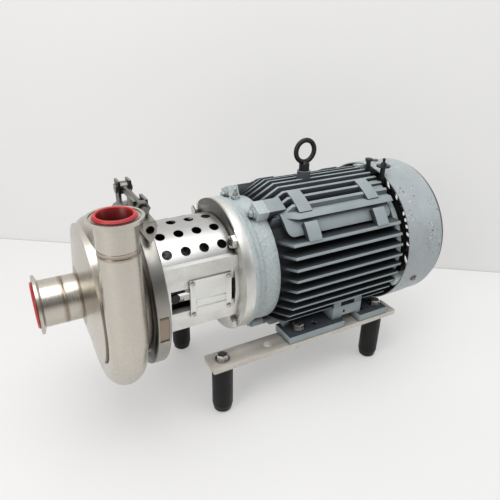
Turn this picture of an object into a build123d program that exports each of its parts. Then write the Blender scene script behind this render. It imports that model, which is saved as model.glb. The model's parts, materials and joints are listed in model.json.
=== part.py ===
from build123d import *
import os
from math import cos, radians, sin, sqrt, tan

# Sanitary centrifugal pump, close coupled to a finned foot-mounted motor. Sizes are in millimetres.
# The origin is the centre of the suction ferrule's face. +X runs along the shaft towards the
# motor, +Z is up, and the discharge port stands on the -Y side.

# Ports
suction_tube_radius = 25.4
suction_ferrule_radius = 32.0
suction_length = 43.0
discharge_tube_radius = 19.05
discharge_ferrule_radius = 25.25
discharge_height = 123.5
tube_wall = 1.65
ferrule_rim = 2.85
ferrule_slope = 20.0
groove_width = 1.6
groove_depth = 0.8
groove_inset = 2.8
seam_height = 0.3
seam_width = 1.6
neck_groove_depth = 0.5
neck_groove_width = 1.4
suction_seam = 27.0
neck_groove_place = 27.5
discharge_seam = 32.5
neck_low = 20.0

# Volute casing
casing_radius = 78.5
casing_wall = 2.4
cover_rise = 9.0
scroll_top = 66.0
scroll_reach = 96.5
scroll_entry_bend = 45.0
scroll_entry_turn = 60.0
scroll_far_bend = 70.0
scroll_low_bend = 78.0

# Clamped joint behind the casing
clamp_front = 101.0
clamp_width = 15.0
clamp_radius = 94.0
clamp_lip_radius = 82.0
clamp_gap = 0.3
clamp_split = 1.5
flange_radius = 86.5
flange_rim = 4.0
flange_slope = 15.0
backplate_rim = 2.0
gasket_width = 3.0
gasket_thickness = 2.0
label_length = 32.0
label_width = 10.0
label_depth = 0.8
label_height = -9.0

# Clamp bolt, its clevis, its fork and the hinge
bolt_pin_y = 20.0
bolt_height = 108.0
bolt_radius = 4.0
bolt_end_y = -58.0
bolt_eye_radius = 7.0
nut_flats = 13.0
nut_height = 8.0
nut_gap = 0.4
pin_radius = 3.5
pin_overhang = 2.0
pin_clearance = 0.06
cheek_thickness = 3.0
cheek_depth = 15.0
cheek_top = 117.0
fork_back_y = -25.0
fork_front_y = -44.0
fork_top = 114.0
ear_front_y = -66.0
ear_width = 14.0
ear_height = 32.0
ear_centre_z = 93.0
ear_hole_radius = 4.2
ear_hole_depth = 12.0
hinge_drop = 100.0
hinge_knuckle = 6.5

# Plugs in the ports
plug_gap = 0.3
plug_wall = 1.6
plug_depth = 15.0
plug_lip = 1.2
plug_lip_width = 5.6
plug_bead = 2.6
plug_bead_width = 3.0

# Backplate and shaft seal
backplate_front = 84.0
backplate_web = 5.0
backplate_skirt = 5.3
backplate_bore = 18.0
seal_hub_radius = 34.0
spigot_radius = 57.7
spigot_length = 3.5
spigot_wall = 5.7
seat_radius = 23.0
seat_length = 8.0
seat_lip = 1.0
gland_radius = 33.0
gland_length = 21.0
gland_bore = 24.0
gland_lip = 3.5
gland_lip_bore = 16.0
gland_grooves = (4.0, 8.0)
gland_groove = 1.6
flush_offset = 13.0
flush_radius = 5.5
flush_reach = 56.5
flush_cap = 3.0
seal_gap = 0.1
seal_ring_radius = 21.0
seal_ring_length = 5.0
spring_rings = 3
spring_wire = 1.05
spring_gap = 0.06
seal_collar_length = 4.2

# Impeller and stub shaft
impeller_radius = 60.0
impeller_gap = 1.5
impeller_back_gap = 2.0
shroud_thickness = 3.0
blade_count = 6
blade_thickness = 3.2
blade_root = 15.0
blade_sweep = 68.0
hub_radius = 16.0
hub_length = 22.0
nose_radius = 8.0
nose_length = 9.5
seat_shaft_radius = 9.5
seal_shaft_radius = 14.0
fit_gap = 0.03
impeller_nut_radius = 12.5
impeller_nut_length = 15.0
collar_radius = 27.0
collar_length = 47.0
collar_groove = 1.6
collar_grooves = (5.0, 9.0, 13.0)

# Adapter between pump and motor
adapter_end = 220.0
motor_flange_radius = 82.55
motor_flange_thickness = 12.0
adapter_bore = 58.0
adapter_neck_radius = 80.0
adapter_ring_end = 122.0
rear_arch = 5.0
rear_bore = 45.0
wall_outer = 60.0
wall_thickness = 10.0
wall_top = 40.0
wall_bottom = -38.0
floor_thickness = 4.0
window_front = 128.0
window_top = 12.0
window_bottom = -16.0
drain_length = 46.0
drain_width = 24.0
face_bolt_circle = 149.2
face_bolt_radius = 4.7
face_hole_radius = 5.2
face_bolt_flats = 14.3
face_bolt_head = 6.4
face_bolt_reach = 13.0
rabbet_radius = 57.15
rabbet_length = 4.1
rabbet_recess = 4.5
inner_boss_x = 197.5

# Perforated guard and side covers
guard_radius = 66.0
guard_sheet = 1.2
guard_front = 119.0
guard_back = 206.0
guard_hole_radius = 5.6
guard_first_hole = 131.6
guard_hole_pitch = 21.4
guard_columns = 4
guard_row_angle = 21.0
cover_x = 174.0
cover_length = 50.0
cover_height = 46.0
cover_thickness = 2.5
cover_rib = 0.9
cover_screw_inset = 3.4
cover_screw_radius = 2.8
cover_screw_head = 1.6
cover_screw_shank = 1.9
cover_screw_length = 7.0

# Motor frame, feet and end bells
shaft_height = 88.9
frame_front = 254.0
frame_back = 428.0
frame_radius = 77.0
frame_bore = 72.0
fin_radius = 95.0
fin_thickness = 3.2
fin_tip_round = 1.2
side_fin_taper = 13.0
top_fin_taper = 30.0
fin_root_radius = 79.0
side_fin_pitch = 13.4
side_fin_first = -60.7
side_fin_count = 9
fin_pitch = 11.0
top_fin_count = 10
low_fin_count = 8
low_fin_lift = 4.0
ledge_height = 74.5
ledge_thickness = 5.0
panel_radius = 89.0
panel_sheet = 4.5
panel_low = 52.5
panel_round = 8.0
pad_width = 18.0
pad_thickness = 7.0
pad_radius = 96.2
low_pad_angles = (30.0, 44.0)
top_pad_angles = (52.0, 72.0)
pad_places = (297.0, 399.0)
foot_bolt_x = 289.85
foot_bolt_y = 69.85
foot_spacing = 127.0
foot_hole_step = 25.4
foot_front = 269.0
foot_back = 427.0
foot_outer = 84.0
foot_inner = 50.0
foot_thickness = 10.0
foot_arch = 26.0
foot_arch_height = 13.0
arch_x = 367.0
bridge_front = 340.0
bridge_back = 386.0
bridge_wall = 76.0
bridge_top = -30.0
bridge_hole_x = 358.0
bridge_hole_z = -70.0
bridge_slot_z = -58.0
foot_web = 9.0
foot_hole_radius = 4.35
eye_x = 332.0
eye_boss_radius = 8.5
eye_boss_top = 104.0
bell_rim = 5.0
bell_shoulder_radius = 79.5
bell_waist_radius = 77.5
bell_spigot = 6.0
bell_bore = 13.0
rear_rim = 7.5
rear_rim_radius = 84.0
bell_boss_angle = 64.0
bell_boss_circle = 83.0
bell_boss_radius = 6.5
bell_boss_front = 238.0
lug_height = 92.0
lug_width = 20.0
front_lug_length = 22.0
rear_lug_length = 16.0
bell_bolt_radius = 2.5
bell_bolt_flats = 8.0
bell_bolt_head = 4.0
bell_bolt_reach = 34.0
bearing_outer = 26.0
bearing_inner = 12.5
bearing_width = 15.0
front_bearing_x = 232.0
rear_bearing_x = 424.0
bearing_hub_wall = 8.0

# Motor inside, fan and fan cover
motor_shaft_radius = 11.11
motor_shaft_reach = 53.8
rotor_front = 300.0
rotor_length = 90.0
rotor_radius = 45.0
rotor_seat_radius = 17.0
air_gap = 0.6
winding_length = 20.0
winding_radius = 66.0
winding_bore = 52.0
key_width = 4.76
key_length = 35.0
fan_x = 443.0
fan_width = 21.0
fan_radius = 84.0
fan_blades = 8
fan_blade = 2.5
fan_hub_radius = 15.0
fan_shaft_radius = 10.0
cowl_radius = 98.7
cowl_front = 436.0
cowl_length = 67.0
cowl_sheet = 1.5
cowl_crease_place = 34.0
cowl_corner = 9.0
cowl_slots = 18
cowl_slot_width = 5.0
cowl_slot_inner = 24.0
cowl_slot_outer = 80.0
cowl_screw_angle = 23.0
cowl_screw_place = 25.0
cowl_screws_used = 3
cowl_screw_gap = 120.0
cowl_screw_radius = 4.5
cowl_lug_width = 14.0

# Eye bolt, grease fittings and conduit box
eye_ring_radius = 13.4
eye_ring_wire = 3.0
eye_ring_height = 128.5
eye_collar_radius = 6.5
eye_shank_radius = 5.0
eye_shank_depth = 14.0
nipple_x = 240.0
nipple_y = 10.0
nipple_radius = 2.6
nipple_seat = 82.0
post_x = 431.9
post_radius = 3.2
post_foot = 74.0
post_seat = 105.5
post_washer_radius = 9.0
grease_post_y = -35.0
relief_post_y = -7.0
relief_flats = 9.0
box_x = 345.0
box_length = 86.0
box_height = 76.0
box_depth = 52.0
box_wall = 3.5
box_pad = 100.0
box_gasket = 1.5
box_lid = 3.0
box_lid_skirt = 2.0
box_screw_inset = 8.0
box_screw_radius = 2.0
box_screw_head_radius = 4.0
box_screw_head = 2.2
box_screw_length = 12.0
entry_radius = 13.5

# Rails, legs and their bolts
rail_width = 30.2
rail_thickness = 6.3
rail_front = 165.4
rail_back = 444.4
rail_hole_radius = 5.5
rail_holes = (245.0, 360.0)
leg_x = 183.0
leg_radius = 12.8
leg_length = 69.5
leg_foot_radius = 8.5
leg_foot_taper = 11.0
leg_socket = 24.0
base_bolt_radius = 4.0
base_bolt_flats = 13.0
base_bolt_head = 5.5
base_nut_height = 7.0
washer_radius = 8.5
washer_thickness = 1.6

# Places worked out from the sizes above
cover_plane = suction_length + cover_rise
scroll_x = cover_plane + discharge_tube_radius
scroll_near_bend = scroll_reach + scroll_far_bend - scroll_low_bend
scroll_end_z = scroll_top - scroll_far_bend - scroll_low_bend + scroll_near_bend
chamber_radius = casing_radius - casing_wall
clamp_back = clamp_front + clamp_width
clamp_middle = clamp_front + clamp_width / 2
casing_face = clamp_middle - backplate_rim / 2
adapter_face = clamp_middle + backplate_rim / 2
flange_tangent = tan(radians(flange_slope))
hub_end = adapter_face + spigot_length + seat_length
gland_end = hub_end + gland_length
seat_front = hub_end - seat_length + seat_lip
impeller_front = backplate_front - hub_length
shaft_tip = adapter_end - motor_shaft_reach
collar_end = shaft_tip - 1.2 + collar_length
flange_front = adapter_end - motor_flange_thickness
window_back = flange_front - rear_arch
rail_top = -shaft_height
rail_bottom = rail_top - rail_thickness
leg_bottom = rail_bottom - leg_length
foot_rear_x = foot_bolt_x + foot_spacing
cowl_back = cowl_front + cowl_length
cowl_crease = cowl_front + cowl_crease_place
cowl_screw_x = cowl_front + cowl_screw_place
FROM_END = (Align.CENTER, Align.CENTER, Align.MIN)


def turned(*points):
    """Solid turned about the shaft axis from a closed outline of (x, radius) points."""
    return revolve(make_face(Polyline(*points, close=True)), Axis.X)


def rod(x0, x1, radius, y=0.0, z=0.0):
    return Pos(x0, y, z) * Rot(0, 90, 0) * Cylinder(radius, x1 - x0, align=FROM_END)


def cross_rod(y0, y1, radius, x, z):
    return Pos(x, y0, z) * Rot(-90, 0, 0) * Cylinder(radius, y1 - y0, align=FROM_END)


def post(z0, z1, radius, x, y):
    return Pos(x, y, z0) * Cylinder(radius, z1 - z0, align=FROM_END)


def block(x0, x1, y0, y1, z0, z1):
    middle = Pos((x0 + x1) / 2, (y0 + y1) / 2, (z0 + z1) / 2)
    return middle * Box(x1 - x0, y1 - y0, z1 - z0)


def hexagon(flats, height):
    return extrude(RegularPolygon(flats / 2, 6, major_radius=False), height)


def sum_of(solids):
    """Fuses a list of solids that belong to one piece."""
    whole = solids[0]
    for solid in solids[1:]:
        whole = whole + solid
    return whole


def group_of(solids):
    """Keeps separate solids together in one node."""
    return Compound(children=[piece.solids()[0] for piece in solids])


def around(solid, angle):
    return Rot(angle, 0, 0) * solid


def sector(inner, outer, x0, x1, start, size):
    """Part of a ring about the shaft axis, with angles counted from -Y towards +Z."""
    profile = Pos((x0 + x1) / 2, -(inner + outer) / 2) * Rectangle(x1 - x0, outer - inner)
    return Rot(-start, 0, 0) * revolve(profile, Axis((0, 0, 0), (-1, 0, 0)), size)


# Casing, plugs and gasket

def port(tube_radius, ferrule_radius, length, seams):
    """Outside of a clamp ferrule and its tube, with its face at the origin looking along -X."""
    drop = (ferrule_radius - tube_radius) * tan(radians(ferrule_slope))
    body = turned((0, 0), (0, ferrule_radius), (ferrule_rim, ferrule_radius),
                  (ferrule_rim + drop, tube_radius), (length, tube_radius), (length, 0))
    for place in seams:
        outside = tube_radius + seam_height
        body = body + turned((place, 0), (place, tube_radius), (place + seam_width / 2, outside),
                             (place + seam_width, tube_radius), (place + seam_width, 0))
    return body


def port_bore(tube_radius, length):
    return rod(-1, length, tube_radius - tube_wall)


def face_groove(ferrule_radius):
    outside = ferrule_radius - groove_inset
    inside = outside - groove_width
    return turned((-1, inside), (-1, outside), (groove_depth, outside), (groove_depth, inside))


def neck_groove():
    """Shallow groove round the discharge neck, below its ferrule."""
    inside = discharge_tube_radius - neck_groove_depth
    end = neck_groove_place + neck_groove_width
    outside = discharge_tube_radius + 1
    return turned((neck_groove_place, inside), (neck_groove_place, outside), (end, outside),
                  (end, inside))


def at_discharge(solid):
    return Pos(scroll_x, -scroll_reach, discharge_height) * Rot(0, 90, 0) * solid


def bend(centre_y, centre_z, bend_radius, tube_radius, start, turn):
    """Torus piece of the scroll, turning from +Z through +Y towards -Z."""
    at = radians(start)
    place = (scroll_x, centre_y + bend_radius * cos(at), centre_z + bend_radius * sin(at))
    section = Plane(origin=place, z_dir=(0, sin(at), -cos(at))) * Circle(tube_radius)
    return revolve(section, Axis((scroll_x, centre_y, centre_z), (-1, 0, 0)), turn)


def scroll(tube_radius):
    far_y = scroll_far_bend - scroll_low_bend
    low_z = scroll_top - scroll_far_bend
    entry_z = scroll_top - scroll_entry_bend
    start = 90 + scroll_entry_turn
    entry = bend(0, entry_z, scroll_entry_bend, tube_radius, start, scroll_entry_turn)
    far = bend(0, low_z, scroll_far_bend, tube_radius, 90, 90)
    low = bend(far_y, low_z, scroll_low_bend, tube_radius, 0, 90)
    near = bend(far_y, scroll_end_z, scroll_near_bend, tube_radius, -90, 90)
    return entry + far + low + near


def flange_back(radius):
    """Axial depth of the tapered clamp flank at a radius, measured from the rim's edge."""
    return (flange_radius - radius) * flange_tangent


def welded_casing():
    """Casing with both ports, before it is told apart at its two tubes."""
    rim_back = casing_face - flange_rim
    barrel = turned((suction_length - 1, 0), (suction_length - 1, suction_tube_radius),
                    (suction_length, suction_tube_radius), (cover_plane, casing_radius),
                    (rim_back - flange_back(casing_radius), casing_radius),
                    (rim_back, flange_radius), (casing_face, flange_radius), (casing_face, 0))
    riser = discharge_height - scroll_end_z
    outside = barrel + scroll(discharge_tube_radius)
    outside = outside + port(suction_tube_radius, suction_ferrule_radius, suction_length,
                             (suction_seam,))
    outside = outside + at_discharge(port(discharge_tube_radius, discharge_ferrule_radius,
                                          riser, (discharge_seam,)) - neck_groove())
    chamber = turned((suction_length + casing_wall, 0),
                     (suction_length + casing_wall, suction_tube_radius),
                     (cover_plane + casing_wall, chamber_radius),
                     (casing_face + 1, chamber_radius), (casing_face + 1, 0))
    cavity = chamber + scroll(discharge_tube_radius - tube_wall)
    cavity = cavity + port_bore(suction_tube_radius, suction_length + casing_wall + 1)
    cavity = cavity + at_discharge(port_bore(discharge_tube_radius, riser))
    casing = outside - cavity - gasket_ring(casing_face + 1)
    return casing - face_groove(suction_ferrule_radius) - at_discharge(
        face_groove(discharge_ferrule_radius))


def suction_stub_space():
    """Room that holds the whole suction tube, up to the dished front."""
    reach = suction_ferrule_radius + 2
    return block(-2, suction_length - 0.5, -reach, reach, -reach, reach)


def discharge_stub_space():
    """Room that holds the straight discharge neck above the scroll, and its ferrule."""
    reach = discharge_tube_radius + 2 * seam_height
    wide_low = discharge_height - discharge_seam
    neck = post(neck_low, discharge_height + 2, reach, scroll_x, -scroll_reach)
    return neck + post(wide_low, discharge_height + 2, discharge_ferrule_radius + 2, scroll_x,
                       -scroll_reach)


def suction_ferrule():
    return welded_casing() & suction_stub_space()


def discharge_ferrule():
    return welded_casing() & discharge_stub_space()


def pump_casing():
    return welded_casing() - suction_stub_space() - discharge_stub_space()


def gasket_ring(back):
    middle = (chamber_radius + flange_radius) / 2
    front = casing_face - gasket_thickness
    inside = middle - gasket_width / 2
    outside = middle + gasket_width / 2
    return turned((front, inside), (front, outside), (back, outside), (back, inside))


def port_plug(tube_radius):
    """Protective plug whose lip rests on the ferrule, with its well inside the tube."""
    well = tube_radius - tube_wall - plug_gap
    inside = well - plug_wall
    bead = inside + plug_bead_width
    lip = inside + plug_lip_width
    return turned((-plug_bead, inside + 0.6), (-plug_bead, bead - 0.6), (0.6 - plug_bead, bead),
                  (-plug_lip, bead), (-plug_lip, lip - 0.4), (0.4 - plug_lip, lip), (0, lip),
                  (0, well), (plug_depth, well), (plug_depth, 0), (plug_depth - plug_wall, 0),
                  (plug_depth - plug_wall, inside), (0.6 - plug_bead, inside))


# Backplate, seal and rotating pump parts

def backplate():
    skirt = chamber_radius - plug_gap
    skirt_bore = skirt - backplate_skirt
    web_back = backplate_front + backplate_web
    rim_front = casing_face - backplate_rim
    spigot_end = adapter_face + spigot_length
    spigot_bore = spigot_radius - spigot_wall
    return turned((backplate_front, backplate_bore), (backplate_front, skirt),
                  (casing_face, skirt), (casing_face, flange_radius),
                  (adapter_face, flange_radius), (adapter_face, spigot_radius),
                  (spigot_end, spigot_radius), (spigot_end, spigot_bore),
                  (rim_front, spigot_bore), (rim_front, skirt_bore), (web_back, skirt_bore),
                  (web_back, seal_hub_radius), (hub_end, seal_hub_radius),
                  (hub_end, seat_radius), (seat_front, seat_radius),
                  (seat_front, backplate_bore))


def seal_seat():
    inside = seal_shaft_radius + plug_wall
    return turned((seat_front, inside), (seat_front, seat_radius), (hub_end, seat_radius),
                  (hub_end, seal_ring_radius), (hub_end + seat_lip, seal_ring_radius),
                  (hub_end + seat_lip, inside))


def seal_gland():
    lip_front = gland_end - gland_lip
    gland = turned((hub_end, gland_bore), (hub_end, gland_radius), (gland_end, gland_radius),
                   (gland_end, gland_lip_bore), (lip_front, gland_lip_bore),
                   (lip_front, gland_bore))
    for place in gland_grooves:
        gland = gland - sleeve(hub_end + place, gland_groove, gland_radius)
    flush_x = hub_end + flush_offset
    cap = flush_reach - flush_cap
    tubes = cross_rod(-cap, cap, flush_radius - 1, flush_x, 0)
    hollow = cross_rod(-flush_reach, flush_reach, flush_radius - 2.5, flush_x, 0)
    clear = rod(hub_end - 1, gland_end + 1, gland_bore)
    return gland + (tubes - clear) - (hollow - clear)


def sleeve(x, width, radius):
    """Ring used to cut a groove of one millimetre depth into a round surface."""
    outside = radius + 1
    return turned((x, radius - 1), (x, outside), (x + width, outside), (x + width, radius - 1))


def flush_caps():
    flush_x = hub_end + flush_offset
    start = flush_reach - flush_cap
    near = cross_rod(-flush_reach, -start, flush_radius, flush_x, 0)
    far = cross_rod(start, flush_reach, flush_radius, flush_x, 0)
    return group_of([near, far])


seal_ring_front = hub_end + seat_lip + seal_gap
spring_front = seal_ring_front + seal_ring_length
spring_step = 2 * spring_wire + spring_gap
collar_front = spring_front + spring_rings * spring_step


def seal_ring():
    inside = seal_shaft_radius + fit_gap
    return turned((seal_ring_front, inside), (seal_ring_front, seal_ring_radius - 2),
                  (seal_ring_front + 1.5, seal_ring_radius - 2),
                  (seal_ring_front + 1.5, seal_ring_radius),
                  (spring_front, seal_ring_radius), (spring_front, inside))


def seal_spring():
    coils = []
    middle = (seal_shaft_radius + seal_ring_radius) / 2
    for index in range(spring_rings):
        x = spring_front + spring_gap / 2 + spring_wire + index * spring_step
        coils.append(revolve(Pos(x, middle) * Circle(spring_wire), Axis.X))
    return group_of(coils)


def seal_collar():
    inside = seal_shaft_radius + fit_gap
    back = collar_front + seal_collar_length
    return turned((collar_front, inside), (collar_front, seal_ring_radius),
                  (back, seal_ring_radius), (back, inside))


def cover_inside(radius):
    """Axial place of the casing cover's inner face at a radius."""
    slope = cover_rise / (chamber_radius - suction_tube_radius)
    return suction_length + casing_wall + (radius - suction_tube_radius) * slope


def impeller():
    back = backplate_front - impeller_back_gap
    front = back - shroud_thickness
    hub = turned((impeller_front, 0), (impeller_front, hub_radius - 2.5),
                 (impeller_front + 4, hub_radius), (backplate_front, hub_radius),
                 (backplate_front, 0))
    shroud = rod(front, back, impeller_radius)
    root_edge = cover_inside(blade_root + 10) + impeller_gap + 6
    tip_edge = cover_inside(impeller_radius) + impeller_gap
    envelope = turned((root_edge, 0), (root_edge, blade_root), (tip_edge, impeller_radius),
                      (back, impeller_radius), (back, 0))
    wheel = hub + shroud
    for index in range(blade_count):
        wheel = wheel + around(blade(), index * 360 / blade_count) & (envelope + hub)
    return wheel - rod(impeller_front - 1, backplate_front + 1, seat_shaft_radius + fit_gap)


def blade():
    """One swept blade, from the hub to the rim, as a curved wall along the axis."""
    middle_radius = (blade_root + impeller_radius) / 2
    points = []
    for radius, share in ((blade_root, 0.0), (middle_radius, 0.62), (impeller_radius, 1.0)):
        at = radians(blade_sweep * share)
        points.append((radius * cos(at), radius * sin(at)))
    wall = trace(ThreePointArc(*points), blade_thickness)
    depth = backplate_front - suction_length
    return extrude(Plane.YZ.offset(suction_length) * wall, depth)


def impeller_nut():
    front = impeller_front - impeller_nut_length
    bore_front = impeller_front - nose_length - fit_gap
    bore = nose_radius + fit_gap
    dome = turned((front, 0), (front + 1, 5), (front + 4, 9), (front + 9, impeller_nut_radius),
                  (impeller_front, impeller_nut_radius), (impeller_front, bore),
                  (bore_front, bore), (bore_front, 0))
    flats = Rot(0, 90, 0) * hexagon(2 * impeller_nut_radius - 2.5, impeller_nut_length - 4)
    cap = rod(front, front + 4, impeller_nut_radius)
    return dome & (Pos(front + 4, 0, 0) * flats + cap)


def stub_shaft():
    socket_end = shaft_tip - 0.2
    socket = motor_shaft_radius + fit_gap
    shoulder = collar_end - collar_length
    shaft = turned((impeller_front - nose_length, 0), (impeller_front - nose_length, nose_radius),
                   (impeller_front, nose_radius), (impeller_front, seat_shaft_radius),
                   (backplate_front, seat_shaft_radius), (backplate_front, seal_shaft_radius),
                   (shoulder - 4, seal_shaft_radius), (shoulder, collar_radius),
                   (collar_end, collar_radius), (collar_end, socket), (socket_end, socket),
                   (socket_end, 0))
    for place in collar_grooves:
        shaft = shaft - sleeve(shoulder + place, collar_groove, collar_radius)
    key_slot = block(shaft_tip, collar_end + 1, -key_width / 2, key_width / 2, 0,
                     motor_shaft_radius + key_width / 2 + 0.05)
    pinch = post(0, collar_radius + 1, 3.5, collar_end - 12, 0)
    return shaft - key_slot - around(pinch, 90) - around(pinch, -90)


# Clamp ring

def clamp_ring():
    """Whole clamp ring, grooved inside for the two tapered flanges."""
    root = flange_radius + 2 * clamp_gap
    front = casing_face - flange_rim - clamp_gap
    back = adapter_face + flange_rim + clamp_gap
    chamfer = 1.0
    reach_root = flange_back(root)
    reach_lip = flange_back(clamp_lip_radius)
    return turned((clamp_front, clamp_lip_radius), (clamp_front, clamp_radius - chamfer),
                  (clamp_front + chamfer, clamp_radius), (clamp_back - chamfer, clamp_radius),
                  (clamp_back, clamp_radius - chamfer), (clamp_back, clamp_lip_radius),
                  (back + reach_lip, clamp_lip_radius), (back + reach_root, root),
                  (front - reach_root, root), (front - reach_lip, clamp_lip_radius))


def ring_bore():
    return rod(clamp_front - 2, clamp_back + 2, clamp_radius - 3)


def hinge_slot(width):
    """Space across the clamp about its middle plane, for interleaved knuckles."""
    return (clamp_middle - width / 2, clamp_middle + width / 2)


def knuckle(x0, x1, side):
    """Hinge eye with an arm on its own side of the split."""
    reach = sorted((side * 0.3, side * hinge_knuckle))
    arm = block(x0, x1, reach[0], reach[1], -hinge_drop, 3 - clamp_radius)
    return rod(x0, x1, hinge_knuckle, 0, -hinge_drop) + arm


def hinge_relief(x0, x1):
    return rod(x0, x1, hinge_knuckle + clamp_gap, 0, -hinge_drop)


def hinge_hole():
    return rod(clamp_front - 1, clamp_back + 1, pin_radius + pin_clearance, 0, -hinge_drop)


def near_half():
    half = clamp_ring() - block(clamp_front - 1, clamp_back + 1, -clamp_split / 2,
                                clamp_radius + 1, -clamp_radius - 1, clamp_radius + 1)
    inner0, inner1 = hinge_slot(clamp_width / 3)
    half = half + knuckle(inner0, inner1, -1)
    half = half - hinge_relief(clamp_front - 1, inner0) - hinge_relief(inner1, clamp_back + 1)
    half = half + ear()
    label = sector(clamp_radius - label_depth, clamp_radius + 1,
                   clamp_middle - label_width / 2, clamp_middle + label_width / 2,
                   label_angle(-1), label_angle(1) - label_angle(-1))
    return half - hinge_hole() - label


def label_angle(side):
    """Angle of one end of the bare label recess, counted from -Y towards +Z."""
    return (label_height + side * label_length / 2) / clamp_radius * 57.3


def ear():
    """Bolt lug of the near half: a forked head on a pointed oval boss with a hole."""
    half_h = ear_height / 2
    half_w = ear_width / 2
    right = ThreePointArc((0, -half_h), (half_w, 0), (0, half_h))
    left = ThreePointArc((0, half_h), (-half_w, 0), (0, -half_h))
    oval = make_face(right + left)
    facing = Plane(origin=(clamp_middle + 1, ear_front_y, ear_centre_z), z_dir=(0, 1, 0),
                   x_dir=(1, 0, 0))
    boss = extrude(facing * oval, fork_back_y - ear_front_y)
    head = block(clamp_front, clamp_back, fork_front_y, fork_back_y, clamp_radius / 2, fork_top)
    slot_width = bolt_radius + 0.4
    slot = block(clamp_middle - slot_width, clamp_middle + slot_width, ear_front_y - 1,
                 fork_back_y + 1, bolt_height - slot_width, fork_top + 30)
    nut_room = nut_flats / 2 + 1.6
    seat = block(clamp_front - 4, clamp_back + 4, ear_front_y - 1, fork_front_y,
                 bolt_height - nut_room, fork_top + 30)
    hole = cross_rod(ear_front_y - 1, ear_front_y + ear_hole_depth, ear_hole_radius,
                     clamp_middle + 1, ear_centre_z - 2)
    return (boss + head) - slot - seat - hole - ring_bore()


def far_half():
    half = clamp_ring() - block(clamp_front - 1, clamp_back + 1, -clamp_radius - 1,
                                clamp_split / 2, -clamp_radius - 1, clamp_radius + 1)
    inner0, inner1 = hinge_slot(clamp_width / 3 + 2 * clamp_gap)
    half = half + knuckle(clamp_front, inner0, 1) + knuckle(inner1, clamp_back, 1)
    half = half - hinge_relief(inner0, inner1)
    cheeks = []
    for x0 in (clamp_front, clamp_back - cheek_thickness):
        cheeks.append(block(x0, x0 + cheek_thickness, bolt_pin_y - cheek_depth / 2,
                            bolt_pin_y + cheek_depth / 2, clamp_radius / 2, cheek_top))
    clevis = sum_of(cheeks) - ring_bore()
    hole = rod(clamp_front - 1, clamp_back + 1, pin_radius + pin_clearance, bolt_pin_y,
               bolt_height)
    return half + clevis - hinge_hole() - hole


def pin_between(y, z):
    head = pin_radius + 1.6
    shank = rod(clamp_front - pin_overhang, clamp_back + pin_overhang, pin_radius, y, z)
    return shank + rod(clamp_front - pin_overhang, clamp_front - 0.1, head, y, z)


def hinge_pin():
    return pin_between(0, -hinge_drop)


def bolt_pin():
    return pin_between(bolt_pin_y, bolt_height)


def clamp_bolt():
    width = clamp_width / 2 - cheek_thickness - clamp_gap
    eye = rod(clamp_middle - width, clamp_middle + width, bolt_eye_radius, bolt_pin_y,
              bolt_height)
    shank = cross_rod(bolt_end_y, bolt_pin_y, bolt_radius, clamp_middle, bolt_height)
    hole = rod(clamp_front, clamp_back, pin_radius + pin_clearance, bolt_pin_y, bolt_height)
    return eye + shank - hole


def clamp_nut():
    back = fork_front_y - nut_gap
    turn = Pos(clamp_middle, back, bolt_height) * Rot(90, 0, 0)
    nut = turn * hexagon(nut_flats, nut_height)
    return nut - cross_rod(back - nut_height - 1, back + 1, bolt_radius + pin_clearance,
                           clamp_middle, bolt_height)


# Adapter, guard and side covers

def adapter():
    seat = guard_radius - guard_sheet
    rim_back = adapter_face + flange_rim
    front = turned((adapter_face, 0), (adapter_face, flange_radius),
                   (rim_back, flange_radius),
                   (rim_back + flange_back(adapter_neck_radius), adapter_neck_radius),
                   (clamp_back + 1, adapter_neck_radius), (clamp_back + 1, seat),
                   (adapter_ring_end, seat), (adapter_ring_end, 0))
    back = turned((window_back, 0), (window_back, seat), (flange_front, seat),
                  (flange_front, motor_flange_radius), (adapter_end, motor_flange_radius),
                  (adapter_end, 0))
    middle = (clamp_back + flange_front) / 2
    below = block(window_back - 1, flange_front, -seat, seat, -seat - 1, wall_bottom)
    inner = wall_outer - wall_thickness
    floor = block(clamp_back + 2, flange_front + 1, -inner - 1, inner + 1, wall_bottom,
                  wall_bottom + floor_thickness)
    drain = block(middle - drain_length / 2, middle + drain_length / 2, -drain_width / 2,
                  drain_width / 2, wall_bottom - 1, 0)
    body = front + (back - below) + (floor - drain)
    for side in (-1, 1):
        body = body + side_wall(side)
    body = body - rod(adapter_face - 1, adapter_ring_end, adapter_bore)
    body = body - rod(window_back - 1, adapter_end - rabbet_recess, rear_bore)
    body = body - rod(adapter_end - rabbet_recess, adapter_end + 1,
                      rabbet_radius + pin_clearance)
    for place in face_bolt_places():
        body = body - place * rod(flange_front - 1, adapter_end + 1, face_hole_radius)
    for side in (-1, 1):
        for x, z in cover_screw_places():
            body = body - cross_rod(*sorted((side * (inner - 1), side * wall_outer)),
                                    cover_screw_shank, x, z)
    return body


def side_wall(side):
    """Side of the adapter with its window and the plugged port at the window's back end."""
    inner = wall_outer - wall_thickness
    wall = block(clamp_back + 2, flange_front + 1, inner, wall_outer, wall_bottom, wall_top)
    wall = wall - block(window_front, window_back, inner - 1, wall_outer + 1,
                        window_bottom, window_top)
    web_front = inner_boss_x - flush_radius - 1
    web = block(web_front, window_back + 1, inner - 3, inner + 2, window_bottom - 1,
                window_top + 1)
    boss = cross_rod(inner, wall_outer - 6, flush_radius, inner_boss_x, 0)
    hole = cross_rod(inner - 1, wall_outer, flush_radius - 1.6, inner_boss_x, 0)
    wall = wall + web + boss - hole
    if side < 0:
        wall = mirror(wall, Plane.XZ)
    return wall


def face_bolt_places():
    places = []
    for index in range(4):
        at = radians(45 + 90 * index)
        radius = face_bolt_circle / 2
        places.append(Pos(0, radius * cos(at), radius * sin(at)))
    return places


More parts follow.
